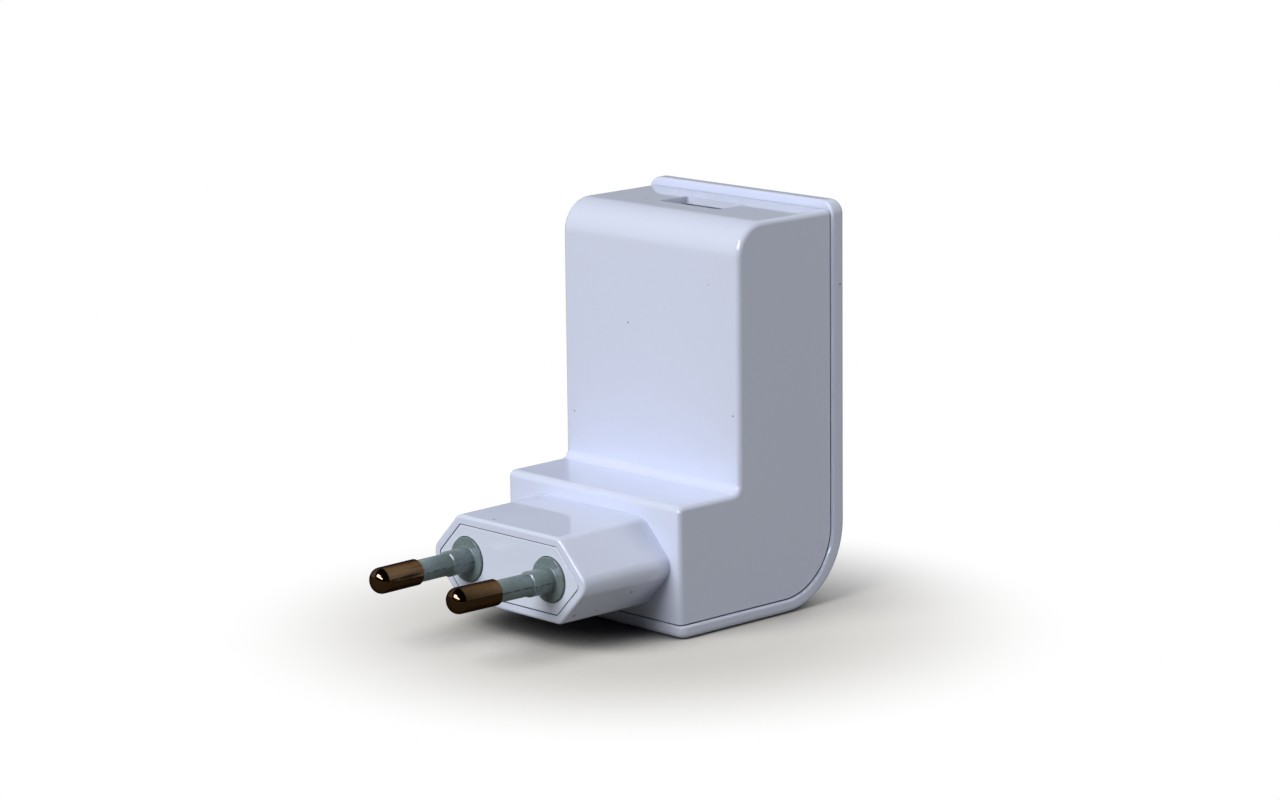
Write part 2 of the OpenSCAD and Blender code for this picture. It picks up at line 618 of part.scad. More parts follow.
stand = 0.2;                                // height of a standing part above the board
module can(d, h) {
    rim = 0.5;
    rotate_extrude()
        polygon([[0, stand], [d / 2 - rim, stand], [d / 2, stand + rim],
                 [d / 2, h - rim], [d / 2 - rim, h], [0, h]]);
    leads(pair_x, lead_root);
}
module bulk_capacitor(side)
    color("midnightblue") placed() on_board(side * bulk_x, bulk_z) can(bulk_d, bulk_h);
module output_capacitor(side)
    color("darkslateblue") placed() on_board(side * outcap_x, outcap_z) can(outcap_d, outcap_h);
module input_choke() {
    flange = 1;
    winding_inset = 0.6;
    color("darkolivegreen") placed() on_board(-side_x, choke_z) {
        rod(stand, stand + flange, choke_d);
        rod(stand, choke_h, choke_d - 2 * winding_inset);
        rod(choke_h - flange, choke_h, choke_d);
        leads(pair_x, lead_root);
    }
}
// a body that lies flat on the board between two bent leads, along local Y
module lying_part(d, length, ends) {
    up = d / 2 + 0.3;
    translate([0, length / 2, up]) rotate([90, 0, 0]) cylinder(h = length, d = d);
    translate([0, ends[1][1], up]) rotate([90, 0, 0]) cylinder(h = ends[1][1] - ends[0][1], d = lead_d);
    for (p = ends) translate([p[0], p[1], -lead_len]) cylinder(h = lead_len + up, d = lead_d);
    for (p = ends) translate([p[0], p[1], up]) sphere(d = lead_d);
}
module fusible_resistor()
    color("seagreen") placed() on_board(0, bulk_z) lying_part(fuse_d, fuse_l, fuse_leads);
module output_diode() {
    ends = [for (p = diode_leads) [0, p[0]]];
    color("dimgray") placed() on_board(0, diode_z) rotate([0, 0, -90]) lying_part(diode_d, diode_l, ends);
}
module suppression_capacitor() {
    up = disc_d / 2 + 1;
    color("steelblue") placed() on_board(-side_x, disc_z) {
        translate([0, 0, up]) rotate([0, 90, 0]) rod(-disc_t / 2, disc_t / 2, disc_d);
        leads(disc_leads, up - 1.5);
    }
}
module bridge_rectifier() {
    color("dimgray") placed() on_back(0, bulk_z) {
        box([-2.3, -2, 0.1], [2.3, 2, 1.6]);
        for (x = [-2.9, 2.1], y = [-1.6, 0.8]) box([x, y, 0], [x + 0.8, y + 0.8, 0.4]);
    }
}
module controller_chip() {
    color("dimgray") placed() on_board(side_x, chip_z) {
        leg_w = 0.4;
        leg_l = 1.05;
        box([-chip_w / 2, -chip_l / 2, 0.15], [chip_w / 2, chip_l / 2, 0.15 + chip_t]);
        for (s = [0, 1], i = [-1.5:1.5])
            let (y = i * chip_l / 4)
            mirror([s, 0, 0])
                box([chip_w / 2 - 0.15, y - leg_w / 2, 0], [chip_w / 2 + leg_l, y + leg_w / 2, 0.35]);
    }
}
module optocoupler() {
    color("whitesmoke") placed() on_board(side_x, opto_z) {
        box([-opto_w / 2, -opto_l / 2, 0.4], [opto_w / 2, opto_l / 2, 3.6]);
        leads(opto_leads, 1.4);
        for (s = [0, 1], p = [-1.27, 1.27])
            mirror([s, 0, 0])
                box([opto_w / 2 - 0.2, p - lead_d / 2, 1.2], [opto_w / 2 + 0.5, p + lead_d / 2, 1.6]);
    }
}
module chip_resistors() {
    color("dimgray") placed()
        for (x = [-7, -3, 3, 7], z = [mid_z - 3, mid_z, mid_z + 3])
            on_back(x, z) box([-1, -0.6, 0], [1, 0.6, 0.5]);
}

// ---- transformer, with its core's legs along the board's height ----

module core_half(s) {
    half = core_w / 2;
    top = core_h / 2;
    air_gap = 0.1;
    color("darkgray") placed() translate([0, core_y, mid_z]) mirror([0, 0, s > 0 ? 0 : 1]) {
        box([-half, -core_t / 2, top - core_bar], [half, core_t / 2, top]);
        for (x = [-half + core_leg / 2, half - core_leg / 2])
            box([x - core_leg / 2, -core_t / 2, 0], [x + core_leg / 2, core_t / 2, top - core_bar + overlap]);
        box([-core_mid / 2, -core_t / 2, air_gap], [core_mid / 2, core_t / 2, top - core_bar + overlap]);
    }
}
leg_gap = 0.1;
tube_in = [core_mid + 2 * leg_gap, core_t + 2 * leg_gap];
tube_out = tube_in + 2 * bobbin_t * [1, 1];
module level(z0, z1) translate([0, core_y, mid_z + z0]) linear_extrude(z1 - z0) children();
module transformer_bobbin() {
    wide = winding_size + 2 * tape_t * [1, 1];
    rail_half = wide[0] / 2 + 0.3;
    color("wheat") placed() {
        difference() {
            union() {
                level(-bobbin_h / 2, bobbin_h / 2) rounded_rect(tube_out, 0.5);
                for (z = [-bobbin_h / 2, bobbin_h / 2 - bobbin_t])
                    level(z, z + bobbin_t) rounded_rect(wide, 0.8);
                for (s = [0, 1]) translate([0, 0, mid_z]) mirror([0, 0, s])
                    box([-rail_half, core_y + core_t / 2 + 0.3, bobbin_h / 2 - bobbin_t],
                        [rail_half, board_y - 0.1, core_h / 2 + rail_over]);
            }
            level(-core_w, core_w) square(tube_in, center = true);
        }
        on_board(0, mid_z) leads(bobbin_leads, overlap);
    }
}
module winding_ring(outer, inner, r) {
    margin = bobbin_t + 0.1;
    level(-bobbin_h / 2 + margin, bobbin_h / 2 - margin) difference() {
        rounded_rect(outer, r);
        rounded_rect(inner, r > 2 ? r - 0.5 : 0.5);
    }
}
module transformer_winding()
    color("chocolate") placed() winding_ring(winding_size, tube_out + 0.04 * [1, 1], 2);
module transformer_tape() {
    color("gold") placed() level(-bobbin_h / 2 + bobbin_t + 0.1, bobbin_h / 2 - bobbin_t - 0.1) difference() {
        rounded_rect(winding_size + 2 * tape_t * [1, 1], 2 + tape_t);
        rounded_rect(winding_size + 0.02 * [1, 1], 2);
    }
}

// ---- USB receptacle, mouth up ----

finger_x = [-1, 1] * shell_w / 4;
finger_w = 1.6;
finger_l = 6;
finger_slit = 0.4;
finger_top = 4;                             // distance of the fingers below the mouth
module usb_shell() {
    inner = [shell_w - 2 * shell_t, shell_h - 2 * shell_t];
    color("silver") placed() {
        difference() {
            translate([0, slot_y, shell_low]) linear_extrude(shell_l) rounded_rect([shell_w, shell_h], 0.6);
            translate([0, slot_y, shell_low - through])
                linear_extrude(shell_l + 2 * through) rounded_rect(inner, 0.4);
            for (x = finger_x) finger_cut(x);
        }
        for (x = finger_x)
            translate([x, slot_y - (shell_h - shell_t) / 2, shell_top - finger_top - (finger_l - finger_slit) / 2])
                cube([finger_w, shell_t, finger_l], center = true);
        for (s = [-1, 1], z = tab_z)
            translate([s * (shell_w - shell_t) / 2, 0, z])
                box([-shell_t / 2, slot_y, -tab_w / 2],
                    [shell_t / 2, board_y + board_t + tab_w / 2, tab_w / 2]);
    }
}
// U-shaped cut that frees a spring finger in the shell's front
module finger_cut(x)
    translate([x, slot_y - shell_h / 2, shell_top - finger_top - finger_l / 2])
        cube([finger_w + 2 * finger_slit, 3 * shell_t, finger_l + finger_slit], center = true);

tongue_y = slot_y - 1;
block_h = 3.6;                               // height of the block that carries the tongue
module usb_insulator() {
    fit = shell_t + 0.03;
    color("whitesmoke") placed() difference() {
        union() {
            translate([0, slot_y, shell_low]) linear_extrude(block_h)
                square([shell_w - 2 * fit - 0.9, shell_h - 2 * fit], center = true);
            translate([0, slot_y, shell_low]) linear_extrude(block_h)
                square([shell_w - 2 * fit, shell_h - 2 * fit - 0.9], center = true);
            box([-tongue_w / 2, tongue_y - tongue_t / 2, shell_low + overlap],
                [tongue_w / 2, tongue_y + tongue_t / 2, shell_top - tongue_drop]);
        }
        contact_room();
    }
}
module contact_strip(x, clear) {
    face = tongue_y + tongue_t / 2;
    half = contact_w / 2 + clear;
    box([x - half, face - contact_t / 2 - clear, contact_z],
        [x + half, face + contact_t / 2 + clear, shell_top - tongue_drop - 0.8]);
}
module contact_room() for (x = contact_xs) contact_strip(x, 0.02);
module usb_contacts() {
    color("goldenrod") placed() for (x = contact_xs) {
        contact_strip(x, 0);
        box([x - lead_d / 2, tongue_y + tongue_t / 2, contact_z - contact_t],
            [x + lead_d / 2, board_y + board_t + tab_w / 2, contact_z + contact_t]);
    }
}

// ---- one node for each piece ----

front_housing();
back_cover();
face_plate();
pin(-1);  // pin_left
pin(1);  // pin_right
pin_sleeve(-1);  // pin_sleeve_left
pin_sleeve(1);  // pin_sleeve_right
mains_lead(-1);  // mains_lead_left
mains_lead(1);  // mains_lead_right
circuit_board();
insulation_sheet();
bulk_capacitor(-1);  // bulk_capacitor_left
bulk_capacitor(1);  // bulk_capacitor_right
fusible_resistor();
input_choke();
bridge_rectifier();
controller_chip();
chip_resistors();
core_half(1);  // transformer_core_upper
core_half(-1);  // transformer_core_lower
transformer_bobbin();
transformer_winding();
transformer_tape();
suppression_capacitor();
optocoupler();
output_diode();
output_capacitor(-1);  // output_capacitor_left
output_capacitor(1);  // output_capacitor_right
usb_shell();
usb_insulator();
usb_contacts();
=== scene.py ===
"""Dressed model of a USB wall charger: moulded case, plug with sleeved pins, port and the parts inside."""

import bmesh
import bpy
import numpy as np
from mathutils import Matrix, Vector


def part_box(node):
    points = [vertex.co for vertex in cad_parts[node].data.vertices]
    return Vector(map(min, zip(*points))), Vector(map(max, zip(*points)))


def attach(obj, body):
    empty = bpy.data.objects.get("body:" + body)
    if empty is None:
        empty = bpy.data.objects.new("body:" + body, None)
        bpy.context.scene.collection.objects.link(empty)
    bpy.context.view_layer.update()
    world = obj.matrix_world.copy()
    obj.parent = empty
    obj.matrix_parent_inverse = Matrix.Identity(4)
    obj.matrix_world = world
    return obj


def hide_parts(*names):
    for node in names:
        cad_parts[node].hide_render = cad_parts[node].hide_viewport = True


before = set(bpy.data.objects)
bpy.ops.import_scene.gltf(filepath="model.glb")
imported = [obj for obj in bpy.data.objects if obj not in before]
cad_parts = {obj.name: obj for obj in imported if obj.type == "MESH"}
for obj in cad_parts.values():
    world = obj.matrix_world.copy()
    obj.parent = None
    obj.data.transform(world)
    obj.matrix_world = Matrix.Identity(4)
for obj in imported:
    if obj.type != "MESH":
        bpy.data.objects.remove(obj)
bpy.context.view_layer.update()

MM = 0.001
SIDES = (-1, 1)
HANDS = ((-1, "left"), (1, "right"))
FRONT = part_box("back_cover")[0][1] / MM       # the front of the foot, from which y is measured below


def box_mm(node):
    """Lowest and highest corner of a CAD node in millimetres, with y from the front of the foot."""
    return [np.array(corner) / MM - [0, FRONT, 0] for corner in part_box(node)]


def extent(node):
    """(middle, size) of a CAD node's box in millimetres, with y from the front of the foot."""
    low, high = box_mm(node)
    return (low + high) / 2, high - low


# ---------------------------------------------------------------- sizes, in millimetres
housing_low, housing_high = box_mm("front_housing")
plate_low, plate_high = box_mm("face_plate")
sleeve_low, sleeve_high = box_mm("pin_sleeve_right")
port_low, port_high = box_mm("usb_shell")
board_low, board_high = box_mm("circuit_board")
cover_high = box_mm("back_cover")[1]
pin_tip = box_mm("pin_right")[0][1]

SEAM = 0.2                                    # open line between the housing and the cover
BASE_T = housing_low[2] - SEAM                # thickness of the cover's bottom
TOP_Z = housing_high[2]
PART_Y = housing_high[1] + SEAM               # the cover's inner face
BACK_Y, RIM_Z = cover_high[1:]
LEDGE = 0.45                                  # how far the cover stands out at each side
DRAFT = np.tan(np.radians(1.0))               # the sides widen towards the back
HALF_W = housing_high[0] - DRAFT * (PART_Y - SEAM)
WALL = 1.8
IN_W = HALF_W - WALL

FOOT_H, FOOT_STEP = 20.4, 12.6
BROW_R, THROAT_R, TOE_R, SIDE_R = 5.2, 1.4, 1.1, 0.8
BEND_R = 12.8                                 # outer radius of the cover's bend
BEND_IN_R = BEND_R - (BACK_Y - PART_Y)
COVER_CORNER_R, COVER_TOE_R, COVER_EDGE_R, COVER_FRONT_R = 2.2, 1.2, 1.0, 0.4
SKIRT_D, SKIRT_T, SKIRT_GAP = 1.6, 1.1, 0.12
SKIRT_TOP = TOP_Z - WALL - SKIRT_GAP
HOOK_W, HOOK_T, HOOK_REACH, HOOK_LOW, HOOK_DROP = 4.0, 0.7, 0.6, 24.0, 16.0
RAIL_T, RAIL_GAP, RAIL_OVER, RAIL_SHORT = 1.0, 0.1, 2.1, 2.0

NOSE_L = -plate_low[1]
PIN_Z = (plate_low[2] + plate_high[2]) / 2
NOSE_HALF, NOSE_FLAT, NOSE_TALL = 17.7, 11.3, 6.65
NOSE_EDGE_R, NOSE_TIP_R, NOSE_FRONT_R = 2.0, 2.4, 0.55
NOSE_DRAFT = np.tan(np.radians(0.5))
NOSE_WALL, NOSE_LEDGE = 1.35, 0.9
PLATE_T, PLATE_GAP, PLATE_EDGE_R = 3.4, 0.13, 0.12

PIN_L = plate_low[1] - pin_tip                # from the plug face to the pin's tip
PITCH, TIP_PITCH = 18.2, 17.1
TILT = np.arcsin((PITCH - TIP_PITCH) / 2 / PIN_L)
PIN_D, PIN_END_R, PIN_CHAMFER, CORE_D = 4.0, 1.5, 0.12, 2.5
SLEEVE_L, SLEEVE_D = 10.6, 3.4
ROOT_L, ROOT_D, ROOT_STEP, ROOT_FILLET = 4.5, 3.92, 0.5, 0.2
FLANGE_D, FLANGE_OUT, FLANGE_LIP = sleeve_high[2] - sleeve_low[2], 0.35, 0.12
FLANGE_SEAT, FLANGE_GAP = 0.25, 0.12          # the recess that the flange sits in
SPIGOT_D, SPIGOT_L = 5.2, 3.0
BOSS_D, BOSS_L = 7.4, 5.2
TAIL_D, TAIL_L, TAIL_CHAMFER = 2.0, 3.9, 0.3
PRESS = 0.03                                  # clearance round pressed-in parts
# how far the sleeve's mould line stands out, and the half widths of the line and of its dirt in radians
MOULD_LINE, LINE_ANGLE, DIRT_ANGLE = 0.035, 0.07, 0.06

SLOT_W, SLOT_D, SLOT_R = 13.0, 6.1, 0.5
SLOT_Y = PART_Y - 7.9
SLOT_WALL, SLOT_RIM = 1.15, 1.0               # the top wall is thinner round the slot
PORT_W, PORT_H, PORT_T, PORT_R = 13.1, 5.72, 0.3, 0.6
PORT_TOP, PORT_FOOT = port_high[2], port_low[2]
FINGER_W, FINGER_L, FINGER_SLIT, FINGER_DROP, FINGER_DENT = 1.6, 6.0, 0.4, 4.0, 0.22
TAB_SPREAD, TAB_HALF = 3.25, 0.6              # the shell's tabs into the board

THROUGH = 1.0                                 # how far a cut reaches past the wall that it opens
SUNK = 0.5                                    # how far a joined form reaches into its neighbour


# ---------------------------------------------------------------- outlines

def left_of(d):
    """Each row turned a quarter to the left."""
    return np.stack([-d[:, 1], d[:, 0]], 1)


def cross(a, b):
    return a[:, 0] * b[:, 1] - a[:, 1] * b[:, 0]


def rounded(corners, skin=0.0, part=0.0, fine=5.0):
    """Closed outline from rows of [a, b, radius, kind], drawn anticlockwise.

    skin insets the edges of kind 1 and part those of kind 0. A corner becomes the arc
    centre + turn(arm, t * sweep), t from 0 to 1, that touches both of its edges; fine is the
    angle of one step on a large arc, in degrees.
    """
    c = np.asarray(corners, float)
    p, r = c[:, :2], c[:, 2]
    d = np.roll(p, -1, 0) - p
    d /= np.linalg.norm(d, axis=1)[:, None]
    e = np.roll(d, 1, 0)
    inset = np.where(c[:, 3] == 1, skin, part)
    before = np.roll(inset, 1)
    a, b = p + left_of(e) * before[:, None], p + left_of(d) * inset[:, None]
    corner = a + e * (cross(b - a, d) / cross(e, d))[:, None]
    side = np.sign(cross(e, d))
    sweep = np.arctan2(cross(e, d), (e * d).sum(1))
    radius = np.where(r > 0, np.maximum(r - side * (inset + before) / 2, 0.05), 0)
    start = corner - e * (radius * np.tan(abs(sweep) / 2))[:, None]
    centre = start + left_of(e) * (radius * side)[:, None]
    out = []
    for i in range(len(c)):
        if r[i] == 0:
            out.append(corner[i:i + 1])
            continue
        step = fine if r[i] > 3 else 1.6 * fine
        t = np.linspace(0, sweep[i], max(int(np.ceil(abs(np.degrees(sweep[i])) / step)), 4) + 1)
        arm = start[i] - centre[i]
        out.append(centre[i] + np.stack([arm[0] * np.cos(t) - arm[1] * np.sin(t),
                                         arm[0] * np.sin(t) + arm[1] * np.cos(t)], 1))
    return np.concatenate(out)


def rounded_rect(w, h, r):
    """Rectangle about the origin with four corners of radius r."""
    turns = ((1, -1), (1, 1), (-1, 1), (-1, -1))
    return rounded([[a * w / 2, b * h / 2, r, 1] for a, b in turns], fine=9.0)


def rectangle(w, h):
    return np.array([[-w, -h], [w, -h], [w, h], [-w, h]]) / 2


def circle(d, steps=20):
    t = np.arange(steps) * 2 * np.pi / steps
    return np.column_stack([np.cos(t), np.sin(t)]) * d / 2


def quarter(steps):
    """Angles from 0 to a right angle."""
    return np.linspace(0, np.pi / 2, steps + 1)


def rows(a, b):
    return np.column_stack([a, b]).tolist()


def arc(r, z, radius, start, end, steps):
    """Rows of (r + radius cos a, z + radius sin a), with a from start to end in degrees."""
    a = np.radians(np.linspace(start, end, steps + 1))
    return rows(r + radius * np.cos(a), z + radius * np.sin(a))


# ---------------------------------------------------------------- meshes

def widened(x, y):
    """A half width x at depth y, with the draft: x (1 + k y)."""
    return x * (1 + DRAFT / HALF_W * y)


def drafted(x, outline):
    """A side outline of (y, z) as a ring at half width x, widened with depth."""
    y, z = outline[:, 0], outline[:, 1]
    return np.stack([widened(x, y), y, z], 1)


def level(outline, z, x=0.0, y=0.0):
    """An XY outline as a ring at height z, with its middle at x and y."""
    return np.column_stack([outline + [x, y], np.full(len(outline), z)])


def loft(rings, closed=False, strips=False):
    """(points, faces) of the skin over equally long rings.

    Flat faces close the ends, or bands across a ring whose second half mirrors its first, or the last
    ring meets the first.
    """
    rings = np.asarray(rings, float)
    m, n = rings.shape[:2]
    j, i = np.meshgrid(np.arange(m if closed else m - 1), np.arange(n), indexing="ij")
    k, after = (i + 1) % n, (j + 1) % m
    quads = np.stack([j * n + i, j * n + k, after * n + k, after * n + i], -1).reshape(-1, 4).tolist()
    last = (m - 1) * n
    if strips:
        b = np.arange(n // 2 - 1)
        band = np.stack([b, n - 1 - b, n - 2 - b, b + 1], -1)
        ends = band.tolist() + (last + band[:, ::-1]).tolist()
    else:
        ends = [] if closed else [list(range(n))[::-1], list(range(last, m * n))]
    return rings.reshape(-1, 3), quads + ends


def revolve(profile, origin, axis, steps=64, ripple=None, closed=False):
    """A profile of (radius, length) turned about an axis: origin + l axis + r (cos t u + sin t v).

    ripple(t, l) is added to the radius where it is given. A closed profile makes a ring.
    """
    profile = np.asarray(profile, float)
    axis = np.asarray(axis, float) / np.linalg.norm(axis)
    v = np.array([0.0, 0.0, 1.0]) if abs(axis[2]) < 0.9 else np.array([0.0, 1.0, 0.0])
    u = np.cross(v, axis)
    u /= np.linalg.norm(u)
    v = np.cross(axis, u)
    t = np.arange(steps) * 2 * np.pi / steps
    r = profile[:, :1] + (0 if ripple is None else ripple(t[None, :], profile[:, 1:]))
    r = np.where(profile[:, :1] == 0, 0, r)
    ring = np.cos(t)[None, :, None] * u + np.sin(t)[None, :, None] * v
    spine = np.asarray(origin, float) + profile[:, 1][:, None, None] * axis
    return loft(spine + r[..., None] * ring, closed)


def sweep(path, ring):
    """A ring of (across, up) carried along a path: p + a side + b normal, side level across the path."""
    path, ring = np.asarray(path, float), np.asarray(ring, float)
    along = np.gradient(path, axis=0)
    along /= np.linalg.norm(along, axis=1)[:, None]
    flat = np.eye(3)[int(np.argmin(np.ptp(path, axis=0)))]
    normal = np.cross(along, flat)
    normal /= np.linalg.norm(normal, axis=1)[:, None]
    side = np.cross(normal, along)
    return loft(path[:, None] + ring[None, :, :1] * side[:, None] + ring[None, :, 1:] * normal[:, None])


def brick(corner, opposite):
    """A box between two corners, as a loft of two rings."""
    (x0, y0, z0), (x1, y1, z1) = np.sort([corner, opposite], axis=0)
    ring = np.array([[x0, y0], [x1, y0], [x1, y1], [x0, y1]])
    return loft([level(ring, z) for z in (z0, z1)])


def block(middle, half):
    """A box about its middle."""
    return brick(np.subtract(middle, half), np.add(middle, half))


def together(shapes):
    """One (points, faces) from several that stay apart."""
    points, faces, n = [], [], 0
    for p, f in shapes:
        points.append(p)
        faces += [[i + n for i in face] for face in f]
        n += len(p)
    return np.concatenate(points), faces


def linked(name, data):
    obj = bpy.data.objects.new(name, data)
    bpy.context.scene.collection.objects.link(obj)
    return obj


def build(shape):
    """A temporary object from (points, faces) in millimetres, welded, with its faces outwards."""
    points, faces = shape
    mesh = bpy.data.meshes.new("work")
    mesh.from_pydata(((points + [0, FRONT, 0]) * MM).tolist(), [], faces)
    return weld(mesh)


def weld(mesh, level_faces=False):
    """An object with the mesh, its doubles merged, its faces outwards, and its triangles joined if asked."""
    bm = bmesh.new()
    bm.from_mesh(mesh)
    bmesh.ops.remove_doubles(bm, verts=bm.verts, dist=2e-6)
    bmesh.ops.dissolve_degenerate(bm, dist=1e-7, edges=bm.edges)
    bmesh.ops.recalc_face_normals(bm, faces=bm.faces)
    if level_faces:
        bmesh.ops.dissolve_limit(bm, angle_limit=np.radians(0.5), verts=bm.verts, edges=bm.edges)
    bm.to_mesh(mesh)
    bm.free()
    return linked("work", mesh)


def carve(base, shapes, how="DIFFERENCE"):
    """The base object with each shape or temporary object cut away from it, or joined to it."""
    for shape in shapes:
        tool = build(shape) if isinstance(shape, tuple) else shape
        mod = base.modifiers.new("cut", "BOOLEAN")
        mod.operation, mod.solver, mod.object = how, "EXACT", tool
        mesh = bpy.data.meshes.new_from_object(base.evaluated_get(bpy.context.evaluated_depsgraph_get()))
        base.modifiers.clear()
        old, base.data = base.data, mesh
        bpy.data.meshes.remove(old)
        bpy.data.meshes.remove(tool.data)
    return base


def join(base, shapes):
    return carve(base, shapes, "UNION")


def finish_piece(obj, name, material, node, angle=32.0, edges=0.0, flat=True):
    """Names a piece, shades it smooth up to the angle, rounds its edges if asked, hangs it from the root body
    and hides its CAD node.
    """
    obj.name = obj.data.name = name
    obj.data.materials.clear()
    obj.data.materials.append(material)
    obj.data.polygons.foreach_set("use_smooth", np.ones(len(obj.data.polygons), bool))
    obj.data.set_sharp_from_angle(angle=np.radians(angle))
    if edges:
        bevel = obj.modifiers.new("soft edges", "BEVEL")
        bevel.width, bevel.segments, bevel.limit_method = edges * MM, 2, "ANGLE"
        bevel.angle_limit, bevel.use_clamp_overlap = np.radians(40), True
    if flat:
        even = obj.modifiers.new("flat faces", "WEIGHTED_NORMAL")
        even.keep_sharp, even.weight = True, 100
    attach(obj, "root")
    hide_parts(node)
    return obj


def paint(obj, material, chosen):
    """Gives a second material to the faces whose middle passes the test on x, y and z."""
    n = len(obj.data.polygons)
    centre, index = np.empty(3 * n), np.empty(n, np.int32)
    obj.data.polygons.foreach_get("center", centre)
    obj.data.polygons.foreach_get("material_index", index)
    obj.data.materials.append(material)
    index[chosen(*(centre.reshape(-1, 3) / MM - [0, FRONT, 0]).T)] = len(obj.data.materials) - 1
    obj.data.polygons.foreach_set("material_index", index)
    return obj


# ---------------------------------------------------------------- case

HOUSING_SIDE = [[0, BASE_T + SEAM, 0, 0], [PART_Y - SEAM, BASE_T + SEAM, BEND_IN_R, 0],
                [PART_Y - SEAM, TOP_Z, 0, 1], [FOOT_STEP, TOP_Z, BROW_R, 1],
                [FOOT_STEP, FOOT_H, THROAT_R, 1], [0, FOOT_H, TOE_R, 1]]
NOSE_FRONT = [[NOSE_HALF, 0, NOSE_TIP_R, 1], [NOSE_FLAT, NOSE_TALL, NOSE_EDGE_R, 1],
              [-NOSE_FLAT, NOSE_TALL, NOSE_EDGE_R, 1], [-NOSE_HALF, 0, NOSE_TIP_R, 1],
              [-NOSE_FLAT, -NOSE_TALL, NOSE_EDGE_R, 1], [NOSE_FLAT, -NOSE_TALL, NOSE_EDGE_R, 1]]


def slab(outline, x0, x1):
    return loft([drafted(x, outline) for x in (x0, x1)])


def nose_ring(y, inset, draft=NOSE_DRAFT):
    """The nose's outline at depth y, grown by its draft and shrunk by the inset."""
    o = rounded(NOSE_FRONT, inset - (y + NOSE_L) * draft, fine=4.5)
    return np.column_stack([o[:, 0], np.full(len(o), y), PIN_Z + o[:, 1]])


def nose_prism(inset, y0, y1):
    """A straight prism on the nose's outline at the plug face."""
    return loft([nose_ring(y, inset, 0) for y in (y0, y1)])


def nose_block(back, inset, r, steps, draft=NOSE_DRAFT):
    """The nose's form from a depth to the plug face, where its edge is rounded.

    At angle t of the rounding the outline is inset by r (1 - cos t) and stands r (1 - sin t) back.
    """
    rings = [nose_ring(back, inset, draft)]
    for t in quarter(steps):
        rings.append(nose_ring(-NOSE_L + r * (1 - np.sin(t)), inset + r * (1 - np.cos(t)), draft))
    return loft(rings)


def pin_axis(side):
    """(origin on the plug face, direction out along the pin)."""
    return (np.array([side * PITCH / 2, -NOSE_L, PIN_Z]),
            np.array([-side * np.sin(TILT), -np.cos(TILT), 0.0]))


def rod(side, l0, l1, d):
    """A round bar about a pin's axis, from one length to another."""
    return revolve([[0, l0], [d / 2, l0], [d / 2, l1], [0, l1]], *pin_axis(side))


def housing_shell():
    """L-shaped block and nose.

    At angle t of the rounded side edges, the side outline is inset by r (1 - cos t) and stands
    at half width w - r (1 - sin t).
    """
    t = quarter(8)
    edge = list(zip(HALF_W - SIDE_R * (1 - np.sin(t)), SIDE_R * (1 - np.cos(t))))
    rings = [drafted(-x, rounded(HOUSING_SIDE, inset, fine=3.75)) for x, inset in edge[::-1]]
    rings += [drafted(x, rounded(HOUSING_SIDE, inset, fine=3.75)) for x, inset in edge]
    return join(build(loft(rings)), [nose_block(SUNK, 0, NOSE_FRONT_R, 8)])


def hooks(clear):
    """Boxes round the four snap hooks, larger by clear."""
    y = PART_Y - SKIRT_D / 2
    half = HOOK_REACH + SKIRT_GAP + clear, HOOK_T / 2 + clear, HOOK_W / 2 + clear
    return [block((s * (widened(IN_W, y) - SKIRT_GAP), y, z), half)
            for s in SIDES for z in (HOOK_LOW, TOP_Z - HOOK_DROP)]


def guide_rails():
    """The four ribs that hold the board's long edges, one on each face of it at both sides."""
    low, high = board_low[2] + RAIL_SHORT, board_high[2] - RAIL_SHORT
    rails = []
    for y in (board_low[1] - RAIL_GAP - RAIL_T, board_high[1] + RAIL_GAP):
        x0, x1 = IN_W - RAIL_OVER, widened(IN_W, y) + SUNK
        rails += [brick((s * x0, y, low), (s * x1, y + RAIL_T, high)) for s in SIDES]
    return rails


def slot_cut(rim, top):
    """The port's slot, wider by rim, from inside the case up to a height."""
    outline = rounded_rect(SLOT_W + 2 * rim, SLOT_D + 2 * rim, SLOT_R + rim)
    return loft([level(outline, z, 0, SLOT_Y) for z in (TOP_Z - WALL - THROUGH, top)])


def front_housing():
    body = housing_shell()
    cuts = [slab(rounded(HOUSING_SIDE, WALL, -THROUGH), -IN_W, IN_W),
            nose_prism(NOSE_WALL, -NOSE_L - THROUGH, -NOSE_L + PLATE_T),
            nose_prism(NOSE_WALL + NOSE_LEDGE, -NOSE_L, WALL + SUNK),
            slot_cut(0, TOP_Z + THROUGH), slot_cut(SLOT_RIM, TOP_Z - SLOT_WALL)]
    cuts += [rod(s, -PLATE_T - BOSS_L - THROUGH, -PLATE_T, BOSS_D + 2 * PLATE_GAP) for s in SIDES]
    carve(body, cuts + hooks(SKIRT_GAP))
    join(body, guide_rails())
    return finish_piece(body, "charger_front_housing", case_finish, "front_housing")


